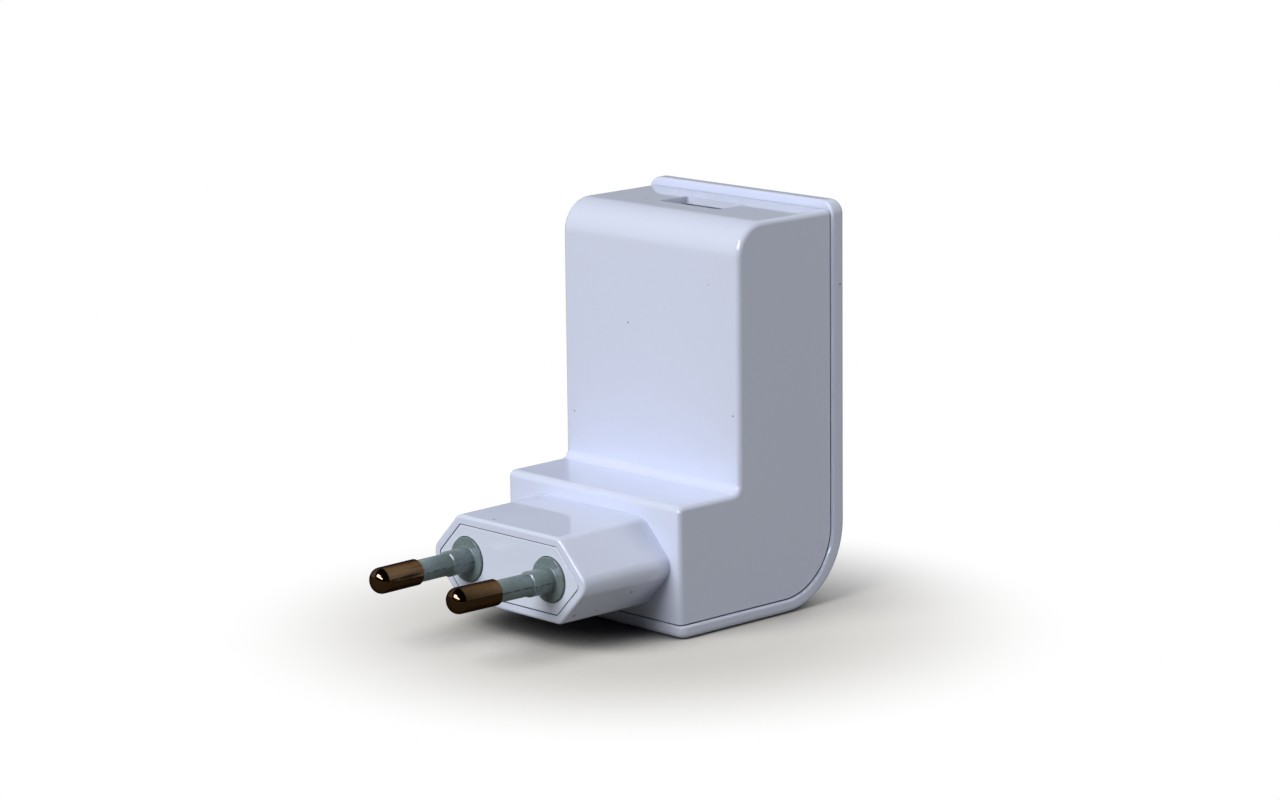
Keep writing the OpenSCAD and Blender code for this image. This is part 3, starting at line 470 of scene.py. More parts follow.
def cover_plate():
    """The bent plate of the cover: its rounded edge carried from the foot, round the bend and up to the rim.

    The edge is a row of (inset i, distance from the inside v). At an end with corner radius R, angle a
    round the corner sets the half width w - R + (R - i) cos a and the way along the plate (R - i) sin a.
    """
    edge, corner, bend = quarter(8), quarter(12), quarter(24)
    inset = np.concatenate([COVER_FRONT_R * (1 - np.sin(edge)), COVER_EDGE_R * (1 - np.cos(edge))])
    out_c, in_c = (BACK_Y - BEND_R, BEND_R), (PART_Y - BEND_IN_R, BASE_T + BEND_IN_R)
    rim_z = RIM_Z - COVER_CORNER_R
    stations = [((COVER_TOE_R, BASE_T), (COVER_TOE_R, 0), (-1, 0), COVER_TOE_R, a) for a in corner[::-1]]
    stations += [((in_c[0] + BEND_IN_R * np.sin(a), in_c[1] - BEND_IN_R * np.cos(a)),
                  (out_c[0] + BEND_R * np.sin(a), out_c[1] - BEND_R * np.cos(a)), (0, 0), COVER_CORNER_R, 0)
                 for a in bend]
    stations += [((PART_Y, rim_z), (BACK_Y, rim_z), (0, 1), COVER_CORNER_R, a) for a in corner]
    rings = []
    for inside, outside, along, r, a in stations:
        out, along = np.subtract(outside, inside), np.array(along)
        thick = np.linalg.norm(out)
        v = np.concatenate([COVER_FRONT_R * (1 - np.cos(edge)), thick - COVER_EDGE_R * (1 - np.sin(edge))])
        x = HALF_W + LEDGE - r + (r - inset) * np.cos(a)
        yz = inside + v[:, None] * out / thick + ((r - inset) * np.sin(a))[:, None] * along
        rings.append(drafted(np.concatenate([x, -x[::-1]]), np.concatenate([yz, yz[::-1]])))
    return loft(rings, strips=True)


def cover_skirt(body):
    """The locating skirt inside the case: an L on each side, and a lip across the top and the foot."""
    foot, low, deep = WALL + SKIRT_GAP, BASE_T - SUNK, PART_Y + SUNK
    outer = [[foot, low, 0, 0], [deep, low, BEND_IN_R, 0], [deep, SKIRT_TOP, 0, 1], [foot, SKIRT_TOP, 0, 1]]
    inner = [[-THROUGH, BASE_T + SKIRT_D, 0, 0], [PART_Y - SKIRT_D, BASE_T + SKIRT_D, BEND_IN_R - SKIRT_D, 0],
             [PART_Y - SKIRT_D, TOP_Z, 0, 1], [-THROUGH, TOP_Z, 0, 1]]
    half = IN_W - SKIRT_GAP
    for s in SIDES:
        x = s * (half - SKIRT_T / 2)
        wall = build(slab(rounded(outer), x - SKIRT_T / 2, x + SKIRT_T / 2))
        join(body, [carve(wall, [slab(rounded(inner), -HALF_W, HALF_W)])])
    half -= SUNK
    lips = [brick((-half, PART_Y - SKIRT_D, SKIRT_TOP - SKIRT_T), (half, deep, SKIRT_TOP)),
            brick((-half, foot, low), (half, foot + SKIRT_T, BASE_T + SKIRT_D))]
    return join(body, lips + hooks(0))


def back_cover():
    body = cover_skirt(build(cover_plate()))
    return finish_piece(body, "charger_back_cover", case_finish, "back_cover")


# ---------------------------------------------------------------- plug

def face_plate():
    """The plate in the nose, with a fine rounded edge, two bosses behind it and the bores for the pins."""
    body = build(nose_block(-NOSE_L + PLATE_T, NOSE_WALL + PLATE_GAP, PLATE_EDGE_R, 4, draft=0))
    join(body, [rod(s, -PLATE_T - BOSS_L, -SUNK, BOSS_D) for s in SIDES])
    seat = FLANGE_D / 2 + FLANGE_GAP
    for s in SIDES:
        carve(body, [rod(s, -SPIGOT_L - PRESS, THROUGH, SPIGOT_D + 2 * PRESS),
                     rod(s, -PLATE_T - BOSS_L - THROUGH, 0, PIN_D + 2 * PRESS),
                     revolve([[0, -FLANGE_SEAT], [seat, -FLANGE_SEAT], [seat, THROUGH], [0, THROUGH]],
                             pin_axis(s)[0], (0, -1, 0), 96)])
    finish_piece(body, "plug_face_plate", plate_finish, "face_plate")
    # the faces of the flange recesses take a flat dark colour, a painted shade in the gap round each flange
    return paint(body, recess_shade, lambda x, y, z: (y > SKIN - NOSE_L) & (y < FLANGE_SEAT + SKIN - NOSE_L)
                 & (np.hypot(abs(x) - PITCH / 2, z - PIN_Z) < seat + SKIN))


def pin(side, word):
    """The turned pin: tail, root, core under the sleeve, and the bare end with its rounded tip."""
    r, tail, root = PIN_D / 2, TAIL_D / 2, -PLATE_T - BOSS_L
    end, neck = root - TAIL_L, -SPIGOT_L - 2 * PRESS
    profile = [[0, end], [tail - TAIL_CHAMFER, end], [tail, end + TAIL_CHAMFER], [tail, root], [r, root],
               [r, neck], [CORE_D / 2, neck], [CORE_D / 2, SLEEVE_L], [r - PIN_CHAMFER, SLEEVE_L],
               [r, SLEEVE_L + PIN_CHAMFER]]
    profile += arc(r - PIN_END_R, PIN_L - PIN_END_R, PIN_END_R, 0, 90, 12) + [[0, PIN_L]]
    body = build(revolve(profile, *pin_axis(side), 72))
    return finish_piece(body, "plug_pin_" + word, pin_finish, "pin_" + word, angle=35,
                        flat=False)


def mark_seam(mesh, side):
    """Stores on each point how near it is to the mould line: exp(-(t / w)^2), t the angle from the line."""
    origin, axis = pin_axis(side)
    p = np.empty(len(mesh.vertices) * 3)
    mesh.vertices.foreach_get("co", p)
    q = p.reshape(-1, 3) / MM - [0, FRONT, 0] - origin
    q -= (q @ axis)[:, None] * axis
    t = np.arctan2(q[:, 2], abs(q[:, 0]))
    near = np.exp(-(t / DIRT_ANGLE) ** 2) * (np.hypot(q[:, 0], q[:, 2]) < ROOT_D / 2 + 0.1)
    mesh.attributes.new("seam", "FLOAT", "POINT").data.foreach_set("value", near.astype(np.float32))


def sleeve(side, word):
    """The moulded sleeve: flange, thick root, stepped thin part, and the fine line left by the mould.

    The root eases into the thin part by e^2 (3 - 2 e). The mould line stands out by h exp(-(sin t / w)^2).
    """
    def mould_line(t, length):
        held = (length > FLANGE_OUT + 0.1) * (length < SLEEVE_L - 0.1)
        return MOULD_LINE * np.exp(-(np.sin(t) / LINE_ANGLE) ** 2) * held

    r0, r1, bore, rim = ROOT_D / 2, SLEEVE_D / 2, CORE_D / 2 + PRESS, FLANGE_D / 2
    end = SLEEVE_L - PRESS
    ease = np.linspace(0, 1, 9)
    step = r0 + (r1 - r0) * ease * ease * (3 - 2 * ease)
    outer = [[bore, -SPIGOT_L], [SPIGOT_D / 2, -SPIGOT_L], [SPIGOT_D / 2, -FLANGE_SEAT - 0.02],
             [SPIGOT_D / 2 + 0.05, -FLANGE_SEAT], [rim, -FLANGE_SEAT]]
    outer += arc(rim - FLANGE_LIP, FLANGE_OUT - FLANGE_LIP, FLANGE_LIP, 0, 90, 4)
    outer += arc(r0 + ROOT_FILLET, FLANGE_OUT + ROOT_FILLET, ROOT_FILLET, 270, 180, 4)
    outer += [[r0, ROOT_L - ROOT_STEP - 0.05]]
    outer += rows(step, ROOT_L - ROOT_STEP * (0.6 - 0.4 * ease))
    outer = np.array(outer + [[r1, end - 0.1], [r1 - 0.08, end], [bore, end]])
    points, faces = revolve(outer, *pin_axis(side), 96, mould_line, closed=True)
    # the flange lies flat on the plug face although the sleeve leans with its pin
    r, length = outer.T
    flange = (length >= -FLANGE_SEAT - 1e-6) & (length <= FLANGE_OUT + 1e-6) & (r > r0 + 0.25)
    points.reshape(len(outer), -1, 3)[flange, :, 1] = -NOSE_L - length[flange][:, None]
    body = build((points, faces))
    mark_seam(body.data, side)
    return finish_piece(body, "plug_sleeve_" + word, sleeve_finish, "pin_sleeve_" + word, angle=38,
                        flat=False)


# ---------------------------------------------------------------- USB port

def port_shell():
    """The receptacle's drawn shell: a tube of rounded-rectangle rings, up, over the mouth and down inside.

    A spring finger is bent in by d sin^2(pi s) over its length s.
    """
    lip = PORT_T / 2
    rings = []
    for off, z in [(lip, PORT_FOOT)] + arc(0, PORT_TOP - lip, lip, 0, 180, 6) + [(-lip, PORT_FOOT)]:
        grow = 2 * (off - lip)
        outline = rounded_rect(PORT_W + grow, PORT_H + grow, PORT_R + grow / 2)
        rings.append(level(outline, z, 0, SLOT_Y))
    body = build(loft(rings, closed=True))
    face, low, high = SLOT_Y - PORT_H / 2, PORT_TOP - FINGER_DROP - FINGER_L, PORT_TOP - FINGER_DROP
    half, slit = FINGER_W / 2, FINGER_SLIT
    z = np.linspace(low + slit / 2 - 0.3, high, 15)
    dent = FINGER_DENT * np.sin(np.pi * np.clip((z - low - slit / 2) / FINGER_L, 0, 1)) ** 2
    for x in (-PORT_W / 4, PORT_W / 4):
        carve(body, [brick((x - half - slit, face - THROUGH, low - slit / 2),
                           (x + half + slit, face + 0.45, high + slit / 2))])
        join(body, [loft([[[x - half, face + d, h], [x + half, face + d, h], [x + half, face + d + PORT_T, h],
                           [x - half, face + d + PORT_T, h]] for h, d in zip(z, dent)])])
    for s in SIDES:
        x = s * (PORT_W - PORT_T) / 2
        for z in (-TAB_SPREAD, TAB_SPREAD):
            z += (PORT_TOP + PORT_FOOT) / 2
            join(body, [brick((x - lip, SLOT_Y, z - TAB_HALF), (x + lip, port_high[1], z + TAB_HALF))])
    return finish_piece(body, "usb_port_shell", shell_finish, "usb_shell")


# ---------------------------------------------------------------- parts inside

BOARD_Y, BOARD_BACK = board_low[1], board_high[1]    # the board's component side and its back
OUT = (0.0, -1.0, 0.0)                        # away from the component side
LEAD_D, LEAD_END, PAIR_X = 0.6, 2.2, 1.75     # leads pass the board and end behind it
STAND = 0.2                                   # gap between the board and what stands on it
WIRE_D, WIRE_X, WIRE_Z = 1.8, 4.0, board_low[2] + 1.7
SKIN = 0.02                                   # how far past a surface a painted face may lie
DISC_LEG, COUPLER_LEG, BRIDGE_LEG = 2.5, 1.27, 1.2
BOBBIN_LEGS, BOBBIN_RAIL = (-4.5, -1.5, 1.5, 4.5), 0.9
CONTACT_XS, CONTACT_FOOT = (-3.5, -1, 1, 3.5), 0.2
CHIP_XS, CHIP_ZS = (-7, -3, 3, 7), (-3, 0, 3)
COIL_W, COIL_WALL = 4.44, 2.96                # bore of the winding: its width, and twice its wall in depth


def lead(x, z, up=STAND + 0.4):
    """A straight lead from behind the board up into a body."""
    end, chamfer = LEAD_D / 2, 0.1
    profile = [[0, -LEAD_END], [end - chamfer, -LEAD_END], [end, chamfer - LEAD_END], [end, up], [0, up]]
    return revolve(profile, (x, BOARD_Y, z), OUT, 20)


def lead_pair(x, z):
    return [lead(x + s * PAIR_X, z) for s in SIDES]


def standing(node):
    """(middle x, middle z, radius, height above the board) of a round part that stands on the board."""
    mid, size = extent(node)
    return mid[0], mid[2], size[0] / 2, BOARD_Y - (mid[1] - size[1] / 2)


def turns_of(turns, fine, bulge):
    """(share of the length, bulge w sqrt(1 - (2 f - 1)^2)) along wound turns, f running over each turn."""
    f = np.linspace(0, turns, turns * fine + 1)
    return f / turns, bulge * np.sqrt(np.clip(1 - (2 * (f % 1) - 1) ** 2, 0, 1))


def tin_leads(body, y=BOARD_Y - STAND + SKIN):
    """Tins the faces that lie further back than y."""
    return paint(body, tinned, lambda _x, at, _z: at > y)


def capacitor(node, name, skin):
    """An aluminium can in a shrink sleeve: rolled groove near the foot, folded rim, top with a pressed vent.

    The groove takes g (1 + cos(pi u)) / 2 off the radius for u from -1 to 1 along it.
    """
    cx, cz, r, tall = standing(node)
    u = np.linspace(-1, 1, 13)
    fold, groove, groove_up, groove_half = 0.4, 0.32, 1.7, 0.55
    vent, vent_depth, sunk = 0.07, 0.09, 0.16
    stripe, stripe_top, stripe_foot = 0.42, 0.5, 2.6     # half its angle, and how far from the can's ends
    foot_in, foot_up, rim = 1.0, 0.3, 0.35
    top = tall - sunk
    profile = [[0, STAND + foot_up], [r - foot_in - 0.2, STAND + foot_up], [r - foot_in, STAND]]
    profile += arc(r - fold, STAND + fold, fold, -90, 0, 5)
    profile += rows(r - groove * (1 + np.cos(np.pi * u)) / 2, STAND + groove_up + groove_half * u)
    profile += arc(r - fold, tall - fold, fold, 0, 90, 5)
    profile += [[r - fold - rim, tall], [r - fold - rim - 0.1, top], [0, top]]
    body = build(revolve(profile, (cx, BOARD_Y, cz), OUT, 72))
    face, arm = BOARD_Y - top, 0.55 * r
    carve(body, [brick((cx - a, face - THROUGH, cz - b), (cx + a, face + vent_depth, cz + b))
                 for a, b in ((arm, vent), (vent, arm))])
    join(body, lead_pair(cx, cz))
    finish_piece(body, name, skin, node, angle=28, flat=False)
    paint(body, can_metal, lambda x, y, z: (y < face + 0.12) & (np.hypot(x - cx, z - cz) < r - fold - 0.3))
    paint(body, stripe_ink, lambda x, y, z: (abs(np.arctan2(z - cz, x - cx)) < stripe)
          & (y > face + stripe_top) & (y < BOARD_Y - STAND - stripe_foot)
          & (np.hypot(x - cx, z - cz) > r - 0.1))
    return tin_leads(body)


def choke():
    """A drum of ferrite, wound with enamelled wire."""
    cx, cz, r, tall = standing("input_choke")
    flange, sunk, wire, edge = 1.0, 0.6, 0.15, 0.12
    low, high = STAND + flange, tall - flange
    share, bulge = turns_of(17, 8, wire)
    profile = [[0, STAND], [r - edge, STAND], [r, STAND + edge], [r, low - edge], [r - edge, low]]
    profile += rows(r - sunk - wire + bulge, low + SKIN + (high - low - 2 * SKIN) * share)
    profile += [[r - edge, high], [r, high + edge], [r, tall - edge], [r - edge, tall], [0, tall]]
    body = join(build(revolve(profile, (cx, BOARD_Y, cz), OUT)), lead_pair(cx, cz))
    finish_piece(body, "input_choke_wound", ferrite, "input_choke", angle=50, flat=False)
    paint(body, copper, lambda x, y, z: (y > BOARD_Y - high) & (y < BOARD_Y - low)
          & (np.hypot(x - cx, z - cz) > r - sunk - 2 * wire))
    return tin_leads(body)


def axial(node, name, skin, along, overhang, profile, marks):
    """A body lying between two bent leads.

    profile gives rows of (radius, length from the middle), and marks are bands (from, to, material) over
    the half length.
    """
    mid, size = extent(node)
    across, clear, bend = 2 - along, 0.3, 0.5
    inked = 0.38                              # bands are printed further out than this share of the diameter
    axis, d = np.eye(3)[along], size[across]
    half, reach = size[along] / 2 - overhang - LEAD_D / 2, size[along] / 2 - LEAD_D / 2
    y = BOARD_Y - d / 2 - clear
    body = build(revolve(profile(d / 2, half), (mid[0], y, mid[2]), axis, 48))
    t = quarter(6)
    for s in SIDES:
        flat = np.concatenate([[half - 0.4], reach - bend + bend * np.sin(t), [reach]])
        path = np.array([mid[0], 0, mid[2]]) + s * flat[:, None] * axis
        path[:, 1] = np.concatenate([[y], y + bend - bend * np.cos(t), [BOARD_Y + LEAD_END]])
        join(body, [sweep(path, circle(LEAD_D))])
    finish_piece(body, name, skin, node, angle=40, flat=False)
    for start, end, ink in marks:
        paint(body, ink, lambda *c:
              (abs((c[along] - mid[along]) / half - (start + end) / 2) < (end - start) / 2)
              & (np.hypot(c[across] - mid[across], c[1] - y) > d * inked))
    return paint(body, tinned, lambda *c:
                 (abs(c[along] - mid[along]) > half + SKIN / 2) | (c[1] > y + d / 2 + SKIN))


def bone(r, half):
    """Thick ends and a thin waist, over w from -1 to 1.

    The radius is (r - s + s exp(-((|w| - 0.76) / 0.12)^2)) (1 - |w|^14)^0.35.
    """
    w, sunk = np.linspace(-1, 1, 81), 0.16
    swell = r - sunk + sunk * np.exp(-((abs(w) - 0.76) / 0.12) ** 2)
    body = np.column_stack([swell * (1 - abs(w) ** 14) ** 0.35, w * half])
    body[[0, -1], 0] = 0
    return body


def barrel(r, half):
    """A straight body with chamfered ends, in short steps so that a band can be printed round it."""
    w, chamfer = np.linspace(-1, 1, 61)[1:-1], 0.25
    side = np.column_stack([np.minimum(r, r - chamfer + chamfer * (1 - abs(w)) / 0.04), w * half])
    return np.concatenate([[[0, -half], [r - chamfer, -half]], side, [[r - chamfer, half], [0, half]]])


def disc():
    """A dipped disc, with lacquer run down each leg.

    Over s its radius is R |cos s|^0.45 and its half thickness t |sin s|^0.8.
    """
    node = "suppression_capacitor"
    mid, size = extent(node)
    r, thick = size[2] / 2, size[0] / 2
    s = np.radians(np.linspace(-90, 90, 33))
    out, along = r * abs(np.cos(s)) ** 0.45, thick * np.sign(np.sin(s)) * abs(np.sin(s)) ** 0.8
    profile = np.column_stack([out, along])
    profile[[0, -1], 0] = 0
    body = build(revolve(profile, (mid[0], BOARD_Y - r - 1, mid[2]), (1, 0, 0)))
    low, high = 0.55, 2.8
    run = [[0, low], [LEAD_D / 2 + 0.02, low], [LEAD_D / 2 + 0.12, 0.8], [0.7, 2.0], [0.9, high], [0, high]]
    for z in (mid[2] - DISC_LEG, mid[2] + DISC_LEG):
        join(body, [revolve(run, (mid[0], BOARD_Y, z), OUT, 24), lead(mid[0], z, 1.2)])
    finish_piece(body, "suppression_capacitor_dipped", dip, node, angle=50, flat=False)
    return tin_leads(body, BOARD_Y - 0.6)


def moulding(mid, half_w, half_h, near, far):
    """Two half shells that taper away from the parting line, with a dimple near a corner of the far face."""
    taper, dimple_r, dimple_in, depth = 0.13, 0.38, 0.8, 0.08
    rings = []
    for y, inset in ((min(near, far), taper), ((near + far) / 2, 0), (max(near, far), taper)):
        x, z = (rectangle(2 * (half_w - inset), 2 * (half_h - inset)) + mid[::2]).T
        rings.append(np.stack([x, np.full(4, y), z], 1))
    at = (mid[0] - half_w + dimple_in, far, mid[2] + half_h - dimple_in)
    dimple = [[0, -depth], [dimple_r, -depth], [dimple_r, THROUGH], [0, THROUGH]]
    return carve(build(loft(rings)), [revolve(dimple, at, (0, np.sign(far - near), 0), 32)])


def strip(points, wide, thick):
    """A flat lead along points, swept as a rectangle; each bend is u (1 - t)^2 + v t^2 off its corner."""
    p, r = np.asarray(points, float), 0.16
    path = [p[0]]
    for a, b, c in zip(p[:-2], p[1:-1], p[2:]):
        u, v = (a - b) / np.linalg.norm(a - b), (c - b) / np.linalg.norm(c - b)
        path += [b + r * (u * (1 - t) ** 2 + v * t ** 2) for t in np.linspace(0, 1, 5)]
    return sweep(path + [p[-1]], rectangle(wide, thick))


def package(node, name, skin, half_w, half_h, near, far, legs, path, wide, thick=0.22):
    """A moulded package with bent legs on both sides.

    near and far are its faces towards and away from the board, legs the heights of the legs, and path the
    bends of a leg as (distance out from the side, y).
    """
    mid = extent(node)[0]
    body = moulding(mid, half_w, half_h, near, far)
    for s in SIDES:
        for z in mid[2] + np.array(legs):
            join(body, [strip([[mid[0] + s * (half_w + out), y, z] for out, y in path], wide, thick)])
    finish_piece(body, name, skin, node, edges=0.04)
    return paint(body, tinned, lambda x, y, z: abs(x - mid[0]) > half_w + 0.03)


def packages():
    """Controller and rectifier on gull-wing legs, and the optocoupler on legs through the board."""
    mid, size = extent("controller_chip")
    leg, near, far, foot = 1.05, BOARD_Y - 0.15, mid[1] - size[1] / 2, BOARD_Y - 0.12
    belt = (near + far) / 2
    package("controller_chip", "controller_chip_package", compound, size[0] / 2 - leg, size[2] / 2,
            near, far, size[2] / 4 * np.arange(-1.5, 2),
            ((-0.3, belt), (0.35, belt), (0.5, foot), (leg, foot)), 0.4)

    size, belt = extent("optocoupler")[1], BOARD_Y - 1.6
    package("optocoupler", "optocoupler_package", pale_compound, size[0] / 2 - 0.5,
            size[2] / 2, BOARD_Y - 0.4, BOARD_Y - 3.6, (-COUPLER_LEG, COUPLER_LEG),
            ((-0.4, belt), (0.2, belt), (0.2, BOARD_Y + LEAD_END)), 0.55, 0.28)

    size, belt, foot, half = extent("bridge_rectifier")[1], BOARD_BACK + 0.85, BOARD_BACK + 0.12, 2.3
    package("bridge_rectifier", "bridge_rectifier_package", compound, half, 2.0, BOARD_BACK + 0.1,
            BOARD_BACK + 1.6, (-BRIDGE_LEG, BRIDGE_LEG),
            ((-0.4, belt), (0.22, belt), (0.3, foot), (size[0] / 2 - half, foot)), 0.7)


def chip_resistors():
    """Twelve chips: the height steps from the soldered end caps down to the glazed middle."""
    mid = extent("chip_resistors")[0]
    half, tall = 0.6, 0.5
    steps = [(-1, 0), (-0.66, 0), (-0.64, 0.05), (0.64, 0.05), (0.66, 0), (1, 0)]
    chips = [loft([[[mid[0] + x + w, BOARD_BACK + b * (tall - cut), mid[2] + z + a * (half - cut)]
                    for a, b in ((-1, 0), (1, 0), (1, 1), (-1, 1))] for w, cut in steps])
             for x in CHIP_XS for z in CHIP_ZS]
    body = build(together(chips))
    finish_piece(body, "chip_resistor_row", glaze, "chip_resistors", edges=0.03)
    return paint(body, tinned, lambda x, y, z: abs(x[:, None] - mid[0] - CHIP_XS).min(1) > 0.65)


def winding():
    """Turns of wire round the bobbin, as a tube whose outside bulges at each turn."""
    mid, size = extent("transformer_winding")
    wire, outer_r, inner_r = 0.16, 2.0, 1.5
    share, bulge = turns_of(30, 6, wire)
    low = mid[2] - size[2] / 2
    bore = rounded_rect(COIL_W, size[1] - COIL_WALL, inner_r)
    rings = [level(bore, low, *mid[:2])]
    rings += [level(rounded_rect(size[0] - 2 * sunk, size[1] - 2 * sunk, outer_r), z, *mid[:2])
              for sunk, z in zip(wire - bulge, low + size[2] * share)]
    rings.append(level(bore, low + size[2], *mid[:2]))
    body = build(loft(rings, closed=True))
    return finish_piece(body, "transformer_coil", copper, "transformer_winding", angle=60,
                        flat=False)


def mains_lead(side, word):
    """An insulated lead from the pin's tail to the board: x and z ease by t^2 (3 - 2 t), y runs evenly."""
    origin, axis = pin_axis(side)
    start = origin - axis * (PLATE_T + BOSS_L + TAIL_L) + [0, SKIN, 0]
    end = np.array([side * WIRE_X, BOARD_Y, WIRE_Z])
    t = np.linspace(0, 1, 49)[:, None]
    ease = t * t * (3 - 2 * t)
    body = build(sweep(start + (end - start) * np.hstack([ease, t, ease]), circle(WIRE_D, 24)))
    return finish_piece(body, "mains_wire_" + word, insulation, "mains_lead_" + word, angle=50,
                        flat=False)


def solid_of(node):
    """A copy of a CAD solid, with its triangles joined into whole faces."""
    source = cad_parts[node].data
    points, corners = np.empty(3 * len(source.vertices)), np.empty(len(source.loops), np.int32)
    source.vertices.foreach_get("co", points)
    source.loops.foreach_get("vertex_index", corners)
    mesh = bpy.data.meshes.new("work")
    mesh.from_pydata(points.reshape(-1, 3).tolist(), [], corners.reshape(-1, 3).tolist())
    return weld(mesh, level_faces=True)


def solder_spots():
    """Where a lead comes through the board, as (x, z)."""
    spots = []

    def add(node, xs, zs):
        mid = extent(node)[0]
        spots.extend((mid[0] + x, mid[2] + z) for x in xs for z in zs)

    def reach(node, axis, inset=LEAD_D / 2):
        half = extent(node)[1][axis] / 2 - inset
        return -half, half

    cans = [kind + word for kind in ("bulk_capacitor_", "output_capacitor_") for _, word in HANDS]
    for node in cans + ["input_choke"]:
        add(node, (-PAIR_X, PAIR_X), (0,))
    add("fusible_resistor", (0,), reach("fusible_resistor", 2))
    add("suppression_capacitor", (0,), (-DISC_LEG, DISC_LEG))
    add("output_diode", reach("output_diode", 0), (0,))
    add("optocoupler", reach("optocoupler", 0), (-COUPLER_LEG, COUPLER_LEG))
    add("transformer_bobbin", BOBBIN_LEGS, reach("transformer_bobbin", 2, BOBBIN_RAIL))
    foot = box_mm("usb_contacts")[0][2] + CONTACT_FOOT
    return spots + [(x, foot) for x in CONTACT_XS]


def circuit_board():
    """The board, with a cone of solder round each lead on its back."""
    body = solid_of("circuit_board")
    cone = [[0.38, -0.03], [0.85, -0.03], [0.82, 0.06], [0.58, 0.16], [0.46, 0.34], [0.42, 0.5], [0.38, 0.5]]
    join(body, [together([revolve(cone, (x, BOARD_BACK, z), (0, 1, 0), 24, closed=True)
                          for x, z in solder_spots()])])
    finish_piece(body, "power_board", mask_green, "circuit_board", angle=35, flat=False)
    tin_leads(body, BOARD_BACK + SKIN / 2)
    (cx, _, cz), size = extent("circuit_board")
    return paint(body, laminate, lambda x, y, z:
                 (abs(x - cx) > size[0] / 2 - SKIN) | (abs(z - cz) > size[2] / 2 - SKIN))


def inner_parts():
    circuit_board()
    for side, word in HANDS:
        mains_lead(side, word)
        capacitor("bulk_capacitor_" + word, "bulk_can_" + word, navy_skin)
        capacitor("output_capacitor_" + word, "output_can_" + word, teal_skin)
    choke()
    bands = ((-0.5, -0.36, band_brown), (-0.22, -0.08, band_black), (0.06, 0.2, band_black),
             (0.34, 0.48, band_gold))
    axial("fusible_resistor", "fusible_resistor_body", green_coat, 2, 0.7, bone, bands)
    axial("output_diode", "output_diode_body", compound, 0, 1.0, barrel, ((0.55, 0.8, band_grey),))
    disc()
    packages()
    chip_resistors()
    winding()
    for node, name, skin, slot, edges in (
            ("insulation_sheet", "insulating_film", film, "sheet", 0.05),
            ("transformer_core_upper", "core_half_upper", ferrite, "ferrite", 0.12),
            ("transformer_core_lower", "core_half_lower", ferrite, "ferrite", 0.12),
            ("transformer_bobbin", "coil_former", phenolic, "bobbin", 0.08),
            ("transformer_tape", "coil_tape", polyester, "tape", 0.04),
            ("usb_insulator", "port_tongue", insulator_finish, "port_insulator", 0.07),
            ("usb_contacts", "port_contacts", contact_finish, "contact", 0.04)):
        finish_piece(solid_of(node), name, skin, node, angle=40, edges=edges)


# ---------------------------------------------------------------- shader helpers

def feed(tree, socket, value):
    """Links an output to a socket, or sets the socket to a number, a vector or a colour."""
    if hasattr(value, "is_output"):
        tree.links.new(value, socket)
    elif socket.type == "RGBA" and len(value) == 3:
        socket.default_value = (*value, 1.0)
    else:
        socket.default_value = value


def add_node(tree, kind, inputs=None, **settings):
    """A shader node; settings are its properties, and inputs are sockets or values by name or number."""
    made = tree.nodes.new("ShaderNode" + kind)
    for key, value in settings.items():
        setattr(made, key, value)
    for key, value in (inputs or {}).items():
        feed(tree, made.inputs[key], value)
    return made


def maths(tree, how, *values, clamp=False):
    """A Math node on sockets or numbers, returning its output."""
    return add_node(tree, "Math", dict(enumerate(values)), operation=how, use_clamp=clamp).outputs[0]


def product(tree, *values, clamp=False):
    return maths(tree, "MULTIPLY", *values, clamp=clamp)


def vectors(tree, how, *values, out="Vector"):
    return add_node(tree, "VectorMath", dict(enumerate(values)), operation=how).outputs[out]


def noise(tree, point, scale, detail=2.0):
    return add_node(tree, "TexNoise", {"Vector": point, "Scale": scale, "Detail": detail}).outputs["Fac"]


def blend(tree, factor, a, b, kind="RGBA"):
    """From a to b by the factor, as colours or, with kind FLOAT, as numbers."""
    first = 6 if kind == "RGBA" else 2
    made = add_node(tree, "Mix", {0: factor}, data_type=kind)
    feed(tree, made.inputs[first], a)
    feed(tree, made.inputs[first + 1], b)
    return made.outputs[2 if kind == "RGBA" else 0]


def remap(tree, value, low, high, from_low=0.3, from_high=0.7, **settings):
    """The value's stretch from_low..from_high carried over to low..high, and held there beyond it."""
    given = {0: value, 1: from_low, 2: from_high, 3: low, 4: high}
    return add_node(tree, "MapRange", given, **settings).outputs[0]


def ramp(tree, value, start, end):
    """0 up to start and 1 from end on."""
    return remap(tree, value, 0.0, 1.0, start, end)


def fresh_tree(owner):
    owner.use_nodes = True
    owner.node_tree.nodes.clear()
    return owner.node_tree


# ---------------------------------------------------------------- shader groups

ORIGIN = (0.0, 0.0, 0.0)


def new_group(name, result, **inputs):
    """(tree, its input sockets, its result's socket) of a node group with inputs of the given values."""
    tree = bpy.data.node_groups.new(name, "ShaderNodeTree")
    for label, value in inputs.items():
        kind = "NodeSocketFloat" if isinstance(value, float) else "NodeSocketVector"
        label = label.replace("_", " ")
        tree.interface.new_socket(name=label, in_out="INPUT", socket_type=kind).default_value = value
    tree.interface.new_socket(name=result, in_out="OUTPUT", socket_type="NodeSocketFloat")
    return tree, tree.nodes.new("NodeGroupInput").outputs, tree.nodes.new("NodeGroupOutput").inputs[0]


def make_mottle():
    """Two sizes of soft noise, added: cloud (large) and grain (fine), each centred on a half."""
    tree, given, result = new_group("Mottle", "Value", Point=ORIGIN, Cloud_Scale=60.0, Grain_Scale=900.0,
                                    Grain_Share=0.3)
    clouds = noise(tree, given["Point"], given["Cloud Scale"], 3.0)
    grains = noise(tree, given["Point"], given["Grain Scale"])
    feed(tree, result, blend(tree, given["Grain Share"], clouds, grains, "FLOAT"))
    return tree


